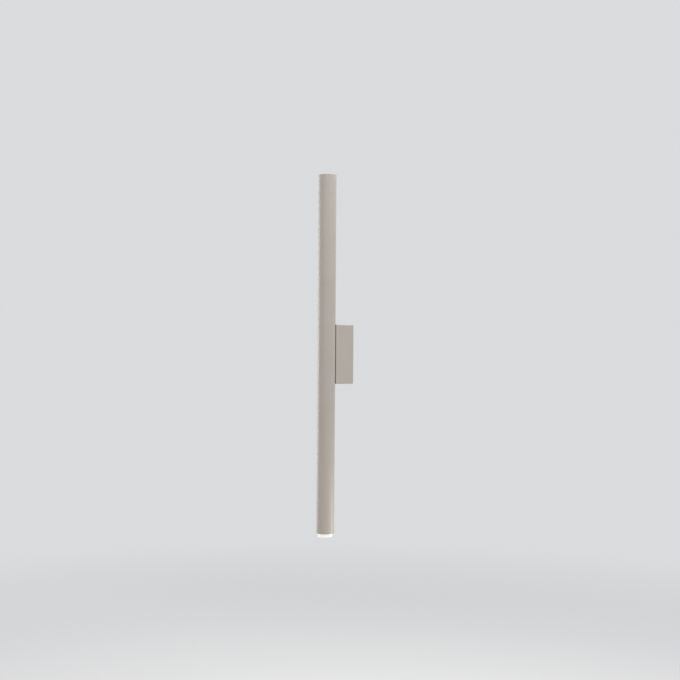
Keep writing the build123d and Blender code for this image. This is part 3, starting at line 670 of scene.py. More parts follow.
# The light satin powder coat: fine orange peel, the faintest drift of colour, and a few hair marks.
shell_coat = finish(
    "satin_powder_coat", colour=coat, other=coat_light,
    patch=45.0, gloss=0.40, swing=0.05, grain_size=0.90, grain_depth=0.055
)
add_marks(shell_coat, size=30.0, gloss=0.50)
bare_casting = finish(
    "cast_aluminium", colour=(0.52, 0.53, 0.54), other=(0.42, 0.43, 0.44),
    patch=6.0, gloss=0.50, swing=0.12, metallic=1.0, grain_size=0.8, grain_depth=0.03
)
tree, place = bare_casting.node_tree, pattern_space(bare_casting)
from_wall = new_node(tree, "SeparateXYZ", Vector=place).outputs["Y"]
speckle = cloud(tree, place, size=1.6, detail=4.0)
overspray = ramp(tree, calc(tree, "MULTIPLY_ADD", speckle, overspray_swing, from_wall), *overspray_span)
stain(bare_casting, overspray, coat, overspray_gloss)
feed(tree, surface(bare_casting)["Metallic"], calc(tree, "SUBTRACT", 1.0, overspray))
piece("cast_wall_box", box, "shell_paint", "wall_box", shell_coat, bare_casting, weighted=True)

# ---------------------------------------------------------------- lock screws
# Two headless M4 socket screws of blackened steel, one through the box's top and one through its bottom.
# Their cup points grip the bracket's flanges, and a 2 mm hex key turns them from outside.

lock_radius = 1.95
lock_length = 8.0
lock_tip_height = 41.7
lock_cup_radius = 1.0
lock_cup_depth = 0.45
lock_point_radius = 1.35
lock_chamfer = 0.3
lock_hex_half_flats = 1.0
lock_hex_depth = 2.0
thread_flat = 1 / 16
spare_turns = 2
weld = 0.002


def threaded_rod(radius, pitch, depth, low, high, steps=48):
    """A rod along Z with a true helical thread, cut flat at both ends."""
    mesh = bmesh.new()
    flat = pitch * thread_flat
    line = []
    for turn in range(-spare_turns, round((high - low) / pitch) + spare_turns):
        foot = low + turn * pitch
        line.append(mesh.verts.new((radius - depth, 0, foot + flat)))
        line.append(mesh.verts.new((radius, 0, foot + pitch / 2 - flat)))
        line.append(mesh.verts.new((radius, 0, foot + pitch / 2 + flat)))
        line.append(mesh.verts.new((radius - depth, 0, foot + pitch - flat)))
    edges = [mesh.edges.new(pair) for pair in zip(line, line[1:])]
    rise = (0, 0, pitch / steps)
    bmesh.ops.spin(
        mesh, geom=line + edges, cent=(0, 0, 0), axis=(0, 0, 1), dvec=rise, angle=tau, steps=steps
    )
    bmesh.ops.remove_doubles(mesh, verts=mesh.verts, dist=weld)
    cut_flat(mesh, (0, 0, low), (0, 0, -1))
    cut_flat(mesh, (0, 0, high), (0, 0, 1))
    bmesh.ops.holes_fill(mesh, edges=[edge for edge in mesh.edges if edge.is_boundary])
    bmesh.ops.recalc_face_normals(mesh, faces=mesh.faces)
    return mesh


def cut_flat(mesh, place, outward):
    """Cuts away what lies beyond a plane."""
    everything = mesh.verts[:] + mesh.edges[:] + mesh.faces[:]
    bmesh.ops.bisect_plane(mesh, geom=everything, plane_co=place, plane_no=outward, clear_outer=True)


def hex_key(half_flats, low, high):
    """A six-sided rod that cuts a socket or makes a nut."""
    return rod(half_flats * 2 / sqrt(3), low, high, segments=6)


def towards(end):
    """A half turn round X for what points down."""
    return Matrix.Rotation(0.0 if end > 0 else pi, 4, "X")


oxide = finish(
    "black_oxide", colour=(0.028, 0.029, 0.032), other=(0.065, 0.066, 0.070),
    patch=1.2, gloss=0.36, swing=0.14, metallic=1.0, grain_size=0.12, grain_depth=0.004
)
for body, end in (("upper_lock", 1), ("lower_lock", -1)):
    screw = threaded_rod(lock_radius, pitch=0.7, depth=0.38, low=0, high=lock_length)
    blank = turned(
        [
            (0, lock_cup_depth), (lock_cup_radius, 0), (lock_point_radius, 0),
            (lock_radius, lock_radius - lock_point_radius), (lock_radius + weld, lock_length - lock_chamfer),
            (lock_radius - lock_chamfer, lock_length + tiny), (0, lock_length + tiny),
        ],
        steps=48,
    )
    socket = hex_key(lock_hex_half_flats, lock_length - lock_hex_depth, lock_length + past_end)
    screw = combined(combined(screw, "INTERSECT", blank), "DIFFERENCE", socket)
    placed(screw, shift(z=lock_tip_height), towards(end), shift(y=lock_screw_y))
    piece(body + "_grub", screw, "dark_steel", body + "_screw", oxide, body=body)

# ---------------------------------------------------------------- terminal block
# A white nylon block with three brass clamps, screwed to the box's floor. Each clamp is bored for the wires
# and tapped for two slotted screws, and the supply cable's cores go into its lower ends.

terminal_radius = 1.3
terminal_length = 5.0
terminal_thread = 0.2
terminal_chamfer = 0.15
terminal_foot = -26.07
terminal_slot_half_width = 0.325
terminal_slot_depth = 0.8
terminal_pole_pitch = 6.0
terminal_middle_height = -20.0
terminal_offset = 3.8
tab_screw_seat = -30.02
recess_reach = 0.6
recess_half_width = 0.14
recess_sink = 0.4
flat_enough = radians(0.5)


def softened(node, radius):
    """A merged copy of a CAD node's mesh in millimetres, with its sharp edges rounded."""
    mesh = bmesh.new()
    mesh.from_mesh(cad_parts[node].data)
    bmesh.ops.scale(mesh, vec=(1 / millimetre, 1 / millimetre, 1 / millimetre), verts=mesh.verts)
    bmesh.ops.remove_doubles(mesh, verts=mesh.verts, dist=weld)
    bmesh.ops.dissolve_limit(mesh, angle_limit=flat_enough, verts=mesh.verts, edges=mesh.edges)
    return rounded(mesh, sharp_edges(mesh), radius, segments=2)


def soft_piece(name, node, slot, material, radius, body="lamp", weighted=False):
    """Finishes a softened copy of a CAD node as the piece that replaces it."""
    piece(name, softened(node, radius), slot, node, material, body=body, weighted=weighted)


def repeated(mesh, places):
    """Copies of a mesh at each place, as one mesh."""
    data = bpy.data.meshes.new("copies")
    mesh.to_mesh(data)
    mesh.free()
    whole = bmesh.new()
    for place in places:
        done = len(whole.verts)
        whole.from_mesh(data)
        whole.verts.ensure_lookup_table()
        bmesh.ops.transform(whole, matrix=place, verts=whole.verts[done:])
    bpy.data.meshes.remove(data)
    return whole


def trimmed(thread, radius, span, chamfers, inside, steps=96):
    """A thread with chamfered ends; inside is the outline of its bore or axis, from its foot on."""
    (low, high), (foot, top) = span, chamfers
    outside = [
        (radius - foot, low - tiny), (radius + weld, low + foot),
        (radius + weld, high - top), (radius - top, high + tiny),
    ]
    return combined(thread, "INTERSECT", turned([inside[0], *outside, *inside[1:]], steps))


def headed_screw(radius, pitch, length, head_radius, height, dome):
    """A screw with its threaded shank below Z = 0 and a domed head above it."""
    shank = threaded_rod(radius, pitch, depth=pitch / 2, low=-length, high=height / 2, steps=40)
    head = rod(head_radius, 0, height)
    round_rim(head, head_radius, height, dome, segments=8)
    return combined(shank, "UNION", head)


def cross_screw(radius, pitch, length, head_radius, height, dome):
    """A headed screw with a cross recess."""
    reach = (-head_radius * recess_reach, head_radius * recess_reach)
    half = (-head_radius * recess_half_width, head_radius * recess_half_width)
    sunk = (height - head_radius * recess_sink, height + past_end)
    screw = headed_screw(radius, pitch, length, head_radius, height, dome)
    return combined(screw, "DIFFERENCE", block(reach, half, sunk), block(half, reach, sunk))


def from_axis(tree, place):
    """The distance of a place from the Z axis, and its height."""
    parts = new_node(tree, "SeparateXYZ", Vector=place).outputs
    across = calc(tree, "MULTIPLY", parts["X"], parts["X"])
    across = calc(tree, "MULTIPLY_ADD", parts["Y"], parts["Y"], across)
    return calc(tree, "SQRT", across), parts["Z"]


# Lines left by a cutting tool or a drawing die, which run round a turned face or along a drawn one.
tooled, given, made = new_group("tool_lines", {"Place": "Vector", "Pitch": "Float"}, {"Height": "Float"})
travel = calc(tooled, "ADD", *from_axis(tooled, given["Place"]))
lines = new_node(tooled, "TexNoise", Detail=2.0, Scale=1.0)
lines.noise_dimensions = "1D"
feed(tooled, lines.inputs["W"], calc(tooled, "DIVIDE", travel, given["Pitch"]))
feed(tooled, made["Height"], lines.outputs["Fac"])


def add_lines(material, pitch, depth, axis_y=0.0):
    """Tool lines round an upright axis."""
    centred = vector_calc(material.node_tree, "SUBTRACT", pattern_space(material), (0.0, axis_y, 0.0))
    lined = place_group(material.node_tree, tooled, Place=centred, Pitch=pitch)
    press(material, lined["Height"], depth)


white_nylon = finish(
    "white_nylon", colour=(0.70, 0.69, 0.65), other=(0.66, 0.645, 0.60),
    patch=7.0, gloss=0.44, swing=0.08, grain_size=0.35, grain_depth=0.012
)
machined_brass = finish(
    "machined_brass", colour=(0.70, 0.50, 0.22), other=(0.56, 0.39, 0.17),
    patch=2.5, gloss=0.28, swing=0.12, metallic=1.0
)
add_lines(machined_brass, pitch=0.12, depth=0.006)
zinc_steel = finish(
    "bright_zinc", colour=(0.66, 0.68, 0.70), other=(0.57, 0.59, 0.62),
    patch=2.0, gloss=0.26, swing=0.12, metallic=1.0, grain_size=0.25, grain_depth=0.006
)
soft_piece("terminal_block", "terminal_housing", "white_nylon", white_nylon, radius=0.25, weighted=True)
soft_piece("brass_clamps", "terminal_clamps", "brass_fittings", machined_brass, radius=0.15, weighted=True)

screw = trimmed(
    threaded_rod(terminal_radius, pitch=0.45, depth=terminal_thread, low=0, high=terminal_length, steps=40),
    terminal_radius,
    (0, terminal_length),
    (terminal_thread, terminal_chamfer),
    [(0, -tiny), (0, terminal_length + tiny)],
    steps=40,
)
driver_slot = block(
    (-2 * terminal_radius, 2 * terminal_radius),
    (-terminal_slot_half_width, terminal_slot_half_width),
    (terminal_length - terminal_slot_depth, terminal_length + past_end),
)
screw = placed(combined(screw, "DIFFERENCE", driver_slot), onto_y)
screw_places = [
    shift(pole * terminal_pole_pitch, terminal_foot, terminal_middle_height + side * terminal_offset)
    for pole in (-1, 0, 1)
    for side in (1, -1)
]
screws = repeated(screw, screw_places)
piece("slotted_terminal_screws", screws, "zinc_steel", "terminal_screws", zinc_steel)
screw = cross_screw(radius=1.45, pitch=0.5, length=5.0, head_radius=2.7, height=1.8, dome=1.1)
placed(screw, onto_y, shift(y=tab_screw_seat, z=tab_screw_height))
piece("block_fixing_screw", screw, "zinc_steel", "terminal_fixing_screw", zinc_steel)

# ---------------------------------------------------------------- earth point and supply leads
# The box is earthed by a tinned ring tag under a pan-head screw, with a green and yellow lead from the
# block. A brown and a blue lead go on from the block, round and through the nipple to the driver.

earth_screw_seat = -32.22
stripe_start = 0.22
stripe_end = 0.26
yellow = (0.80, 0.62, 0.035)


def dress(material, *names):
    """Gives CAD nodes that stay as they are their finish."""
    for name in names:
        for material_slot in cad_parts[name].material_slots:
            material_slot.material = material


def insulated(colour_name, colour, other):
    """Extruded wire insulation: a soft sheen, a faint drift of colour and a very fine skin."""
    return finish(
        colour_name + "_insulation", colour=colour, other=other,
        patch=4.0, gloss=0.36, swing=0.08, grain_size=0.22, grain_depth=0.004
    )


screw = cross_screw(radius=1.95, pitch=0.7, length=2.8, head_radius=3.5, height=1.8, dome=1.1)
placed(screw, onto_y, shift(earth_side, earth_screw_seat, earth_height))
piece("earth_pan_screw", screw, "zinc_steel", "earth_screw", zinc_steel)
tinned_copper = finish(
    "tinned_copper", colour=(0.62, 0.62, 0.60), other=(0.50, 0.49, 0.46),
    patch=1.5, gloss=0.34, swing=0.14, metallic=1.0, grain_size=0.3, grain_depth=0.010
)
soft_piece("earth_ring_tag", "earth_tag", "tinned_copper", tinned_copper, radius=0.12)
striped = insulated("green_yellow", colour=(0.030, 0.25, 0.055), other=(0.025, 0.215, 0.045))
tree = striped.node_tree
facing = new_node(tree, "SeparateXYZ", Vector=new_node(tree, "TexCoord").outputs["Normal"]).outputs["X"]
stain(striped, ramp(tree, facing, stripe_start, stripe_end), yellow)
dress(striped, "earth_lead")
dress(insulated("brown", colour=(0.130, 0.052, 0.022), other=(0.112, 0.044, 0.018)), "live_lead")
dress(insulated("blue", colour=(0.022, 0.105, 0.40), other=(0.018, 0.090, 0.35)), "neutral_lead")

# ---------------------------------------------------------------- gasket
# A soft black silicone strip between the tube's back and the box's hollow front. It keeps the two coated
# faces apart, and shows only as a thin dark line down each side of the joint.

gasket_inner_radius = 15.03
gasket_outer_radius = 15.97
gasket_half_width = 11.2
gasket_half_height = 49.2
gasket_edge_round = 0.3
past_gasket = -45.0

gasket_turn = asin(gasket_half_width / gasket_inner_radius)
gasket = bmesh.new()
section = [
    gasket.verts.new((0, radius, height))
    for radius, height in (
        (gasket_inner_radius, -gasket_half_height), (gasket_outer_radius, -gasket_half_height),
        (gasket_outer_radius, gasket_half_height), (gasket_inner_radius, gasket_half_height),
    )
]
section = gasket.faces.new(section)
placed(gasket, Matrix.Rotation(-gasket_turn, 4, "Z"))
bmesh.ops.spin(gasket, geom=[section], cent=(0, 0, 0), axis=(0, 0, 1), angle=2 * gasket_turn, steps=64)
for side in (1, -1):
    cut_flat(gasket, (side * gasket_half_width, 0, 0), (side, 0, 0))
bmesh.ops.remove_doubles(gasket, verts=gasket.verts, dist=weld)
bmesh.ops.holes_fill(gasket, edges=[edge for edge in gasket.edges if edge.is_boundary])
bmesh.ops.recalc_face_normals(gasket, faces=gasket.faces)
rounded(gasket, sharp_edges(gasket, least=60.0), gasket_edge_round, segments=3)
placed(gasket, shift(y=tube_axis))
gasket = combined(
    gasket,
    "DIFFERENCE",
    drill(saddle_hole_radius, past_gasket, 0, z=saddle_screw_height, segments=48),
    drill(saddle_hole_radius, past_gasket, 0, z=-saddle_screw_height, segments=48),
    drill(nipple_hole_radius, past_gasket, 0, z=nipple_height),
)
silicone = finish(
    "black_silicone", colour=(0.014, 0.014, 0.015), other=(0.024, 0.024, 0.025),
    patch=2.5, gloss=0.62, swing=0.10, grain_size=0.3, grain_depth=0.01
)
piece("saddle_strip", gasket, "gasket_rubber", "saddle_gasket", silicone)

# ---------------------------------------------------------------- tube fastening
# Two M4 button-head screws, put in from inside the box, pull the tube onto the gasket by a curved nut plate
# inside it. Between them a hollow brass nipple with its nut carries the leads, past a bush at each mouth.

button_height = 2.2
button_hex_half_flats = 1.25
nipple_radius = 5.0
nipple_bore_radius = 4.0
nipple_span = (-42.02, -28.52)
nipple_chamfer = 0.3
nut_half_flats = 7.0
nut_turned_radius = 7.85
nut_chamfer = 0.5
nut_span = (-32.22, -29.22)
nut_bore_radius = 5.05
washer_radius = 7.5
washer_edge_round = 0.2
bush_radius = 5.5
bush_spigot_radius = 3.95
bush_spigot = 4.0
bush_lip = 1.0
bush_bore_radius = 3.2
bush_round = 0.35
drawn_metal = (0.66, 0.67, 0.68)
drawn_metal_dull = (0.58, 0.59, 0.60)
up_nipple = shift(z=nipple_height)

screw = headed_screw(radius=2.0, pitch=0.7, length=10.0, head_radius=3.8, height=button_height, dome=1.6)
socket = hex_key(button_hex_half_flats, button_height / 2, button_height + past_end)
screw = placed(combined(screw, "DIFFERENCE", socket), onto_y)
screws = repeated(screw, [shift(y=pocket_floor, z=side * saddle_screw_height) for side in (1, -1)])
piece("button_head_screws", screws, "zinc_steel", "saddle_screws", zinc_steel)

nipple_foot, nipple_top = nipple_span
nipple = trimmed(
    threaded_rod(nipple_radius, pitch=1.0, depth=0.45, low=nipple_foot, high=nipple_top, steps=96),
    nipple_radius,
    nipple_span,
    (nipple_chamfer, nipple_chamfer),
    [(nipple_bore_radius, nipple_foot - tiny), (nipple_bore_radius, nipple_top + tiny)],
)
placed(nipple, onto_y, up_nipple)
piece("threaded_nipple", nipple, "brass_fittings", "wire_nipple", machined_brass)

nut_foot, nut_top = nut_span
nut_flat_radius = nut_turned_radius - nut_chamfer * 2
blank = turned(
    [
        (nut_bore_radius, nut_foot), (nut_flat_radius, nut_foot - tiny),
        (nut_turned_radius, nut_foot + nut_chamfer), (nut_turned_radius, nut_top - nut_chamfer),
        (nut_flat_radius, nut_top + tiny), (nut_bore_radius, nut_top),
    ]
)
nut = placed(combined(hex_key(nut_half_flats, *nut_span), "INTERSECT", blank), onto_y, up_nipple)
piece("chamfered_nipple_nut", nut, "brass_fittings", "nipple_nut", machined_brass)

washer = turned(
    [
        (nipple_hole_radius, pocket_floor), (washer_radius, pocket_floor),
        (washer_radius, nut_foot), (nipple_hole_radius, nut_foot),
    ]
)
rounded(washer, sharp_edges(washer), washer_edge_round, segments=3)
placed(washer, onto_y, up_nipple)
piece("plain_washer", washer, "zinc_steel", "nipple_washer", zinc_steel)

bush = turned(
    [
        (bush_bore_radius, -bush_spigot), (bush_spigot_radius, -bush_spigot), (bush_spigot_radius, 0),
        (bush_radius, 0), (bush_radius, bush_lip), (bush_bore_radius, bush_lip),
    ]
)
round_rim(bush, bush_radius, bush_lip, bush_round)
round_rim(bush, bush_bore_radius, bush_lip, bush_round)
round_rim(bush, bush_spigot_radius, -bush_spigot, bush_round)
inward = shift(y=nipple_top, z=nipple_height) @ onto_y
outward = shift(y=nipple_foot, z=nipple_height) @ onto_y @ towards(-1)
black_nylon = finish(
    "black_nylon", colour=(0.022, 0.022, 0.023), other=(0.030, 0.030, 0.031),
    patch=4.0, gloss=0.42, swing=0.08, grain_size=0.3, grain_depth=0.010
)
piece("mouth_bushes", repeated(bush, [inward, outward]), "black_nylon", "nipple_bushes", black_nylon)

tube_metal = finish(
    "drawn_aluminium", colour=drawn_metal, other=drawn_metal_dull,
    patch=5.0, gloss=0.30, swing=0.10, metallic=1.0
)
add_lines(tube_metal, pitch=0.25, depth=0.010, axis_y=tube_axis)
soft_piece("curved_nut_plate", "clamp_plate", "bare_aluminium", tube_metal, radius=0.3, weighted=True)

# ---------------------------------------------------------------- tube
# The lamp itself: a 30 mm aluminium tube cut to 600 mm, cross-drilled at the back for its two screws and
# the wiring nipple, powder coated outside, and threaded inside each end for its lens ring.

tube_radius = 15.0
tube_bore_radius = 13.5
tube_half_length = 300.0
tube_rim_round = 0.4
ring_pitch = 1.0
tap_radius = 13.8
tap_thread_depth = 0.5
tap_depth = 7.0
thread_reach = 0.05

tube = turned(
    [
        (tube_bore_radius, -tube_half_length), (tube_radius, -tube_half_length),
        (tube_radius, tube_half_length), (tube_bore_radius, tube_half_length),
    ],
    steps=192,
)
for height in (tube_half_length, -tube_half_length):
    round_rim(tube, tube_radius, height, tube_rim_round, segments=5)
cutters = [drill(nipple_hole_radius, 0, tube_radius + past_end, z=nipple_height)]
for side in (1, -1):
    height = side * saddle_screw_height
    cutters.append(drill(saddle_hole_radius, 0, tube_radius + past_end, z=height, segments=48))
    tap = threaded_rod(tap_radius, ring_pitch, tap_thread_depth, -tap_depth, past_end, steps=160)
    cutters.append(placed(tap, shift(z=tube_half_length), towards(side)))
tube = combined(tube, "DIFFERENCE", *cutters)
second_material(tube, lambda middle: middle.xy.length < tap_radius + thread_reach)
placed(tube, shift(y=tube_axis))
piece("lamp_tube", tube, "shell_paint", "tube_body", shell_coat, tube_metal)

# ---------------------------------------------------------------- driver
# The lamp's current driver, in a two-part moulded case that two nylon collars hold in the middle of the
# tube. Its board carries push-in terminals, a wound transformer, three capacitors and a choke.

driver_part_round = 0.2
coil_half_length = 3.2
transformer_middle = -120.5
capacitor_radius = 3.0
capacitor_foot = -54.32
capacitor_top = -47.82
capacitor_groove = 0.25
capacitor_groove_heights = (0.12, 0.16, 0.20)
capacitor_round = 0.5
vent_radius = 2.35
vent_depth = 0.12
vent_half_width = 0.09
vent_reach = 0.8
capacitor_heights = (-87.5, -96.5, -105.5)
track_green = (0.027, 0.180, 0.078)
track_depth = 0.035
ferrite_speck = (0.12, 0.12, 0.12)
lay_on_xy = (pi / 2, 0.0, 0.0)

# Copper areas under a board's lacquer, parted by narrow gaps that run straight or slantwise.
tracks, given, made = new_group("board_tracks", {"Place": "Vector", "Pitch": "Float"}, {"Mask": "Float"})
reaches = []
for feature in ("F1", "F2"):
    scale = calc(tracks, "DIVIDE", 1.0, given["Pitch"])
    cells = new_node(tracks, "TexVoronoi", Vector=given["Place"], Scale=scale, Randomness=0.6)
    cells.voronoi_dimensions = "2D"
    cells.distance = "CHEBYCHEV"
    cells.feature = feature
    reaches.append(cells.outputs["Distance"])
gap = calc(tracks, "SUBTRACT", reaches[1], reaches[0])
feed(tracks, made["Mask"], ramp(tracks, gap, start=0.06, end=0.12))


def printed(material, pitch, colour, turn=(0.0, 0.0, 0.0)):
    """Shows copper through a board's lacquer, on the plane that the turn lays on XY."""
    tree = material.node_tree
    flat = new_node(tree, "Mapping", Vector=pattern_space(material), Rotation=turn)
    web = place_group(tree, tracks, Place=flat.outputs["Vector"], Pitch=pitch)
    stain(material, web["Mask"], colour)
    press(material, web["Mask"], track_depth)


case_plastic = finish(
    "moulded_case", colour=(0.62, 0.63, 0.64), other=(0.66, 0.67, 0.68),
    patch=12.0, gloss=0.50, swing=0.08, grain_size=0.45, grain_depth=0.022
)
soft_piece("driver_case_tray", "driver_tray", "driver_plastic", case_plastic, radius=0.45, weighted=True)
soft_piece("driver_case_cover", "driver_cover", "driver_plastic", case_plastic, radius=0.45, weighted=True)
green_board = finish(
    "green_board", colour=(0.018, 0.140, 0.060), other=(0.014, 0.115, 0.048),
    patch=5.0, gloss=0.26, swing=0.08
)
printed(green_board, pitch=4.0, colour=track_green, turn=lay_on_xy)
dress(green_board, "driver_board")
soft_piece(
    "push_in_terminals", "driver_terminals", "black_nylon", black_nylon, radius=driver_part_round,
    weighted=True,
)

ferrite = finish(
    "fired_ferrite", colour=(0.040, 0.040, 0.043), other=(0.058, 0.057, 0.058),
    patch=1.5, gloss=0.58, swing=0.14
)
stain(ferrite, add_grain(ferrite, size=0.2, depth=0.018), ferrite_speck)
winding = finish(
    "enamelled_winding", colour=(0.48, 0.170, 0.065), other=(0.38, 0.125, 0.045),
    patch=1.2, gloss=0.26, swing=0.12, metallic=0.85
)
add_lines(winding, pitch=0.22, depth=0.05, axis_y=tube_axis)
transformer = softened("driver_transformer", driver_part_round)
second_material(transformer, lambda middle: abs(middle.z - transformer_middle) < coil_half_length)
piece("wound_transformer", transformer, "ferrite", "driver_transformer", ferrite, winding)
soft_piece("drum_choke", "driver_choke", "ferrite", ferrite, radius=driver_part_round)

can_height = capacitor_top - capacitor_foot
groove_low, groove_middle, groove_high = (can_height * share for share in capacitor_groove_heights)
can = turned(
    [
        (0, 0), (capacitor_radius, 0), (capacitor_radius, groove_low),
        (capacitor_radius - capacitor_groove, groove_middle), (capacitor_radius, groove_high),
        (capacitor_radius, can_height), (vent_radius, can_height), (vent_radius, can_height - vent_depth),
        (0, can_height - vent_depth),
    ],
    steps=64,
)
round_rim(can, capacitor_radius, can_height, capacitor_round, segments=5)
vent_span = (can_height - 2 * vent_depth, can_height)
long_side = (-vent_radius * vent_reach, vent_radius * vent_reach)
short_side = (-vent_half_width, vent_half_width)
vents = (block(long_side, short_side, vent_span), block(short_side, long_side, vent_span))
can = combined(can, "DIFFERENCE", *vents)
second_material(
    can, lambda middle: middle.z > vent_span[0] - tiny and middle.xy.length < vent_radius + tiny
)
placed(can, onto_y)
cans = repeated(can, [shift(y=capacitor_foot, z=height) for height in capacitor_heights])
sleeving = finish(
    "shrunk_sleeve", colour=(0.018, 0.024, 0.045), other=(0.024, 0.031, 0.056),
    patch=3.0, gloss=0.32, swing=0.08, grain_size=0.5, grain_depth=0.010
)
can_top = finish(
    "scored_can_top", colour=(0.62, 0.63, 0.64), other=drawn_metal,
    patch=1.0, gloss=0.30, swing=0.10, metallic=1.0, grain_size=0.15, grain_depth=0.004
)
piece("sleeved_capacitors", cans, "capacitor_can", "driver_capacitors", sleeving, can_top)
soft_piece("nylon_collars", "driver_collars", "white_nylon", white_nylon, radius=0.3, weighted=True)

# ---------------------------------------------------------------- light engines
# At each end a turned aluminium slug, pressed into the tube, cools a round white board with one ceramic
# lamp chip. A spun bright cone gathers its light, and a clear silicone ring seals it under the glass.

board_screw_side = 10.0
board_face_height = 277.7
board_track = (0.80, 0.80, 0.785)
seal_clearness = 0.45
phosphor_glow = (1.0, 0.86, 0.60)
phosphor_strength = 3.0

turned_metal = finish(
    "turned_aluminium", colour=drawn_metal, other=drawn_metal_dull,
    patch=6.0, gloss=0.27, swing=0.10, metallic=1.0
)
add_lines(turned_metal, pitch=0.18, depth=0.012, axis_y=tube_axis)
white_board = finish(
    "white_board", colour=(0.76, 0.76, 0.74), other=(0.73, 0.725, 0.70),
    patch=5.0, gloss=0.30, swing=0.06
)
printed(white_board, pitch=6.0, colour=board_track)
glazed = finish(
    "glazed_ceramic", colour=(0.78, 0.78, 0.76), other=(0.75, 0.745, 0.72),
    patch=1.5, gloss=0.20, swing=0.06, grain_size=0.25, grain_depth=0.003
)
bright_cone = finish(
    "spun_mirror", colour=(0.84, 0.85, 0.86), other=(0.78, 0.79, 0.80),
    patch=5.0, gloss=0.11, swing=0.05, metallic=1.0
)
add_lines(bright_cone, pitch=0.30, depth=0.006, axis_y=tube_axis)
clear_seal = finish(
    "clear_silicone", colour=(0.74, 0.76, 0.77), other=(0.70, 0.73, 0.75),
    patch=4.0, gloss=0.34, swing=0.06, grain_size=0.4, grain_depth=0.006
)
surface(clear_seal)["Transmission Weight"].default_value = seal_clearness
glowing_phosphor = finish(
    "phosphor", colour=(0.82, 0.62, 0.12), other=(0.76, 0.55, 0.10),
    patch=0.8, gloss=0.42, swing=0.08, grain_size=0.12, grain_depth=0.010
)
surface(glowing_phosphor)["Emission Color"].default_value = (*phosphor_glow, opaque)
surface(glowing_phosphor)["Emission Strength"].default_value = phosphor_strength

for end, side in (("upper", 1), ("lower", -1)):
    dress(white_board, end + "_led_board")
    dress(bright_cone, end + "_reflector")
    dress(glowing_phosphor, end + "_led_phosphor")
    soft_piece(end + "_grooved_slug", end + "_heat_sink", "bare_aluminium", turned_metal, radius=0.3)
    soft_piece(end + "_ceramic_chip", end + "_led_chip", "chip_ceramic", glazed, radius=0.12)
    stack = end + "_lens_stack"
    soft_piece(end + "_seal_ring", end + "_seal", "seal_silicone", clear_seal, radius=0.25, body=stack)
    screw = cross_screw(radius=1.0, pitch=0.4, length=6.0, head_radius=1.9, height=1.2, dome=0.8)
    seats = [
        shift(x, tube_axis, side * board_face_height) @ towards(side)
        for x in (board_screw_side, -board_screw_side)
    ]
    screws = repeated(screw, seats)
    piece(end + "_pan_screws", screws, "zinc_steel", end + "_led_board_screws", zinc_steel)

# ---------------------------------------------------------------- lamp leads
# Thin silicone leads in front of the driver, wired in series: red up to the upper board, white from one
# board to the other, and black from the lower board back to the driver.

dress(insulated("red", colour=(0.42, 0.018, 0.016), other=(0.36, 0.014, 0.012)), "upper_feed_lead")
dress(insulated("white", colour=(0.70, 0.70, 0.68), other=(0.66, 0.655, 0.63)), "series_link_lead")
dress(insulated("black", colour=(0.016, 0.016, 0.017), other=(0.024, 0.024, 0.025)), "lower_return_lead")

# ---------------------------------------------------------------- lens rings
# Two aluminium rings, coated to match, that screw into the tube's ends and hold the glass and the lens.
# A pin key turns them by two notches, and a fine thread runs round each.

ring_radius = 13.45
ring_inner_radius = 12.4
ring_thread_depth = 0.28
ring_height = 3.0
ring_place = 296.7
ring_chamfer = 0.2
ring_notch_half_width = 0.8
ring_notch_depth = 1.0

for end, side in (("upper", 1), ("lower", -1)):
    ring = trimmed(
        threaded_rod(ring_radius, ring_pitch, ring_thread_depth, 0, ring_height, steps=160),
        ring_radius,
        (0, ring_height),
        (ring_chamfer, ring_chamfer),
        [
            (ring_inner_radius, -tiny),
            (ring_inner_radius + ring_chamfer, ring_height + tiny),
            (ring_inner_radius, ring_height - ring_chamfer),
        ],
        steps=160,
    )
    notch = block(
        (-ring_notch_half_width, ring_notch_half_width),
        (-tube_radius, tube_radius),
        (ring_height - ring_notch_depth, ring_height + past_end),
    )
    ring = combined(ring, "DIFFERENCE", notch)
    placed(ring, shift(z=ring_place), towards(side), shift(y=tube_axis))
    body = end + "_lens_ring"
    piece(end + "_threaded_ring", ring, "shell_paint", end + "_ring", shell_coat, body=body)

# ---------------------------------------------------------------- glass and lens
# The upper light comes out through a flat frosted glass just inside the rim, the lower through a solid
# moulded lens whose round nose stands 6 mm proud. Both glow from the lamp behind them.

glass_radius = 13.2
glass_span = (294.7, 296.7)
glass_edge_round = 0.25
lens_nose_radius = 12.1
lens_nose_end = -306.0
lens_crown = 0.35
lens_edge_round = 0.8
crown_steps = ((0.7, 0.3), (0.4, 0.06))
frost_clearness = 0.15
glow_span = (0.15, 1.0)
glow_hot = (1.0, 0.985, 0.955)
glow_edge = (0.40, 0.385, 0.36)
lens_edge_glow = (0.70, 0.69, 0.665)
frosted_white = (0.54, 0.55, 0.545)
frosted_cool = (0.515, 0.53, 0.53)

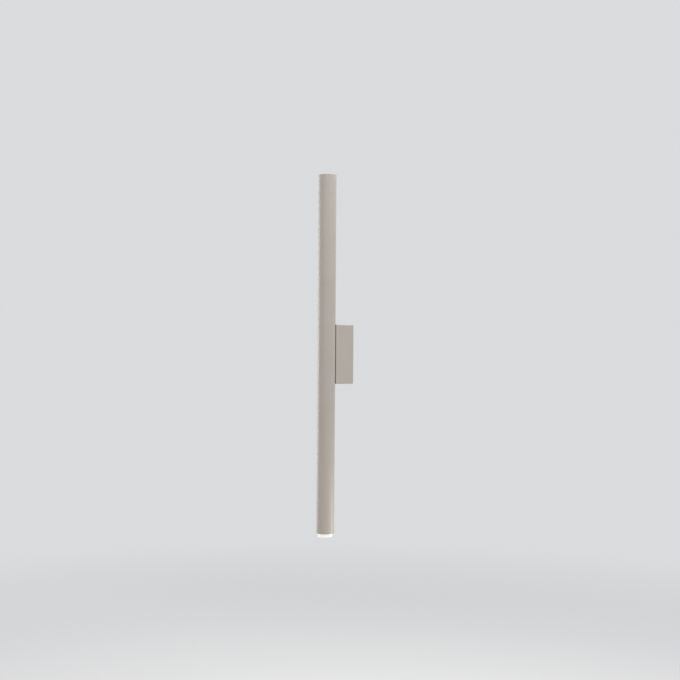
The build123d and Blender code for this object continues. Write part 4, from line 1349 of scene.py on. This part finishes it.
near, far = glass_span
glass = turned([(0, near), (glass_radius, near), (glass_radius, far), (0, far)])
lens_shoulder = lens_nose_end + lens_crown
lens = turned(
    [
        (0, -near), (glass_radius, -near), (glass_radius, -far), (lens_nose_radius, -far),
        (lens_nose_radius, lens_shoulder),
        *((lens_nose_radius * out, lens_nose_end + lens_crown * rise) for out, rise in crown_steps),
        (0, lens_nose_end),
    ],
    steps=128,
)
round_rim(lens, lens_nose_radius, lens_shoulder, lens_edge_round, segments=6)
for height in glass_span:
    round_rim(glass, glass_radius, height, glass_edge_round)
    round_rim(lens, glass_radius, -height, glass_edge_round, segments=3)
placed(glass, shift(y=tube_axis))
placed(lens, shift(y=tube_axis))

# The glow of a lamp behind frosting: bright over the lamp, and falling off towards the edge.
glow_kinds = {"Place": "Vector", "Radius": "Float", "Hot": "Color", "Edge": "Color"}
glow, given, made = new_group("glow_falloff", glow_kinds, {"Colour": "Color"})
across, height = from_axis(glow, given["Place"])
share = ramp(glow, calc(glow, "DIVIDE", across, given["Radius"]), *glow_span)
feed(glow, made["Colour"], blend(glow, share, given["Hot"], given["Edge"]))


def lit(material, edge, strength):
    """Makes a frosted material glow from a lamp on the tube's axis."""
    tree, sockets = material.node_tree, surface(material)
    centred = vector_calc(tree, "SUBTRACT", pattern_space(material), (0.0, tube_axis, 0.0))
    lamp_glow = place_group(tree, glow, Place=centred, Radius=glass_radius, Hot=glow_hot, Edge=edge)
    feed(tree, sockets["Emission Color"], lamp_glow["Colour"])
    sockets["Emission Strength"].default_value = strength
    sockets["Transmission Weight"].default_value = frost_clearness


frosting = finish(
    "frosted_glass", colour=frosted_white, other=frosted_cool,
    patch=8.0, gloss=0.46, swing=0.06, grain_size=0.18, grain_depth=0.012
)
lit(frosting, glow_edge, strength=0.42)
moulded_lens = finish(
    "frosted_acrylic", colour=frosted_white, other=frosted_cool,
    patch=9.0, gloss=0.30, swing=0.06, grain_size=0.3, grain_depth=0.006
)
lit(moulded_lens, lens_edge_glow, strength=0.64)
piece("frosted_disc", glass, "frosted_glass", "upper_glass", frosting, body="upper_lens_stack")
piece("moulded_lens", lens, "lens_acrylic", "lower_lens", moulded_lens, body="lower_lens_stack")
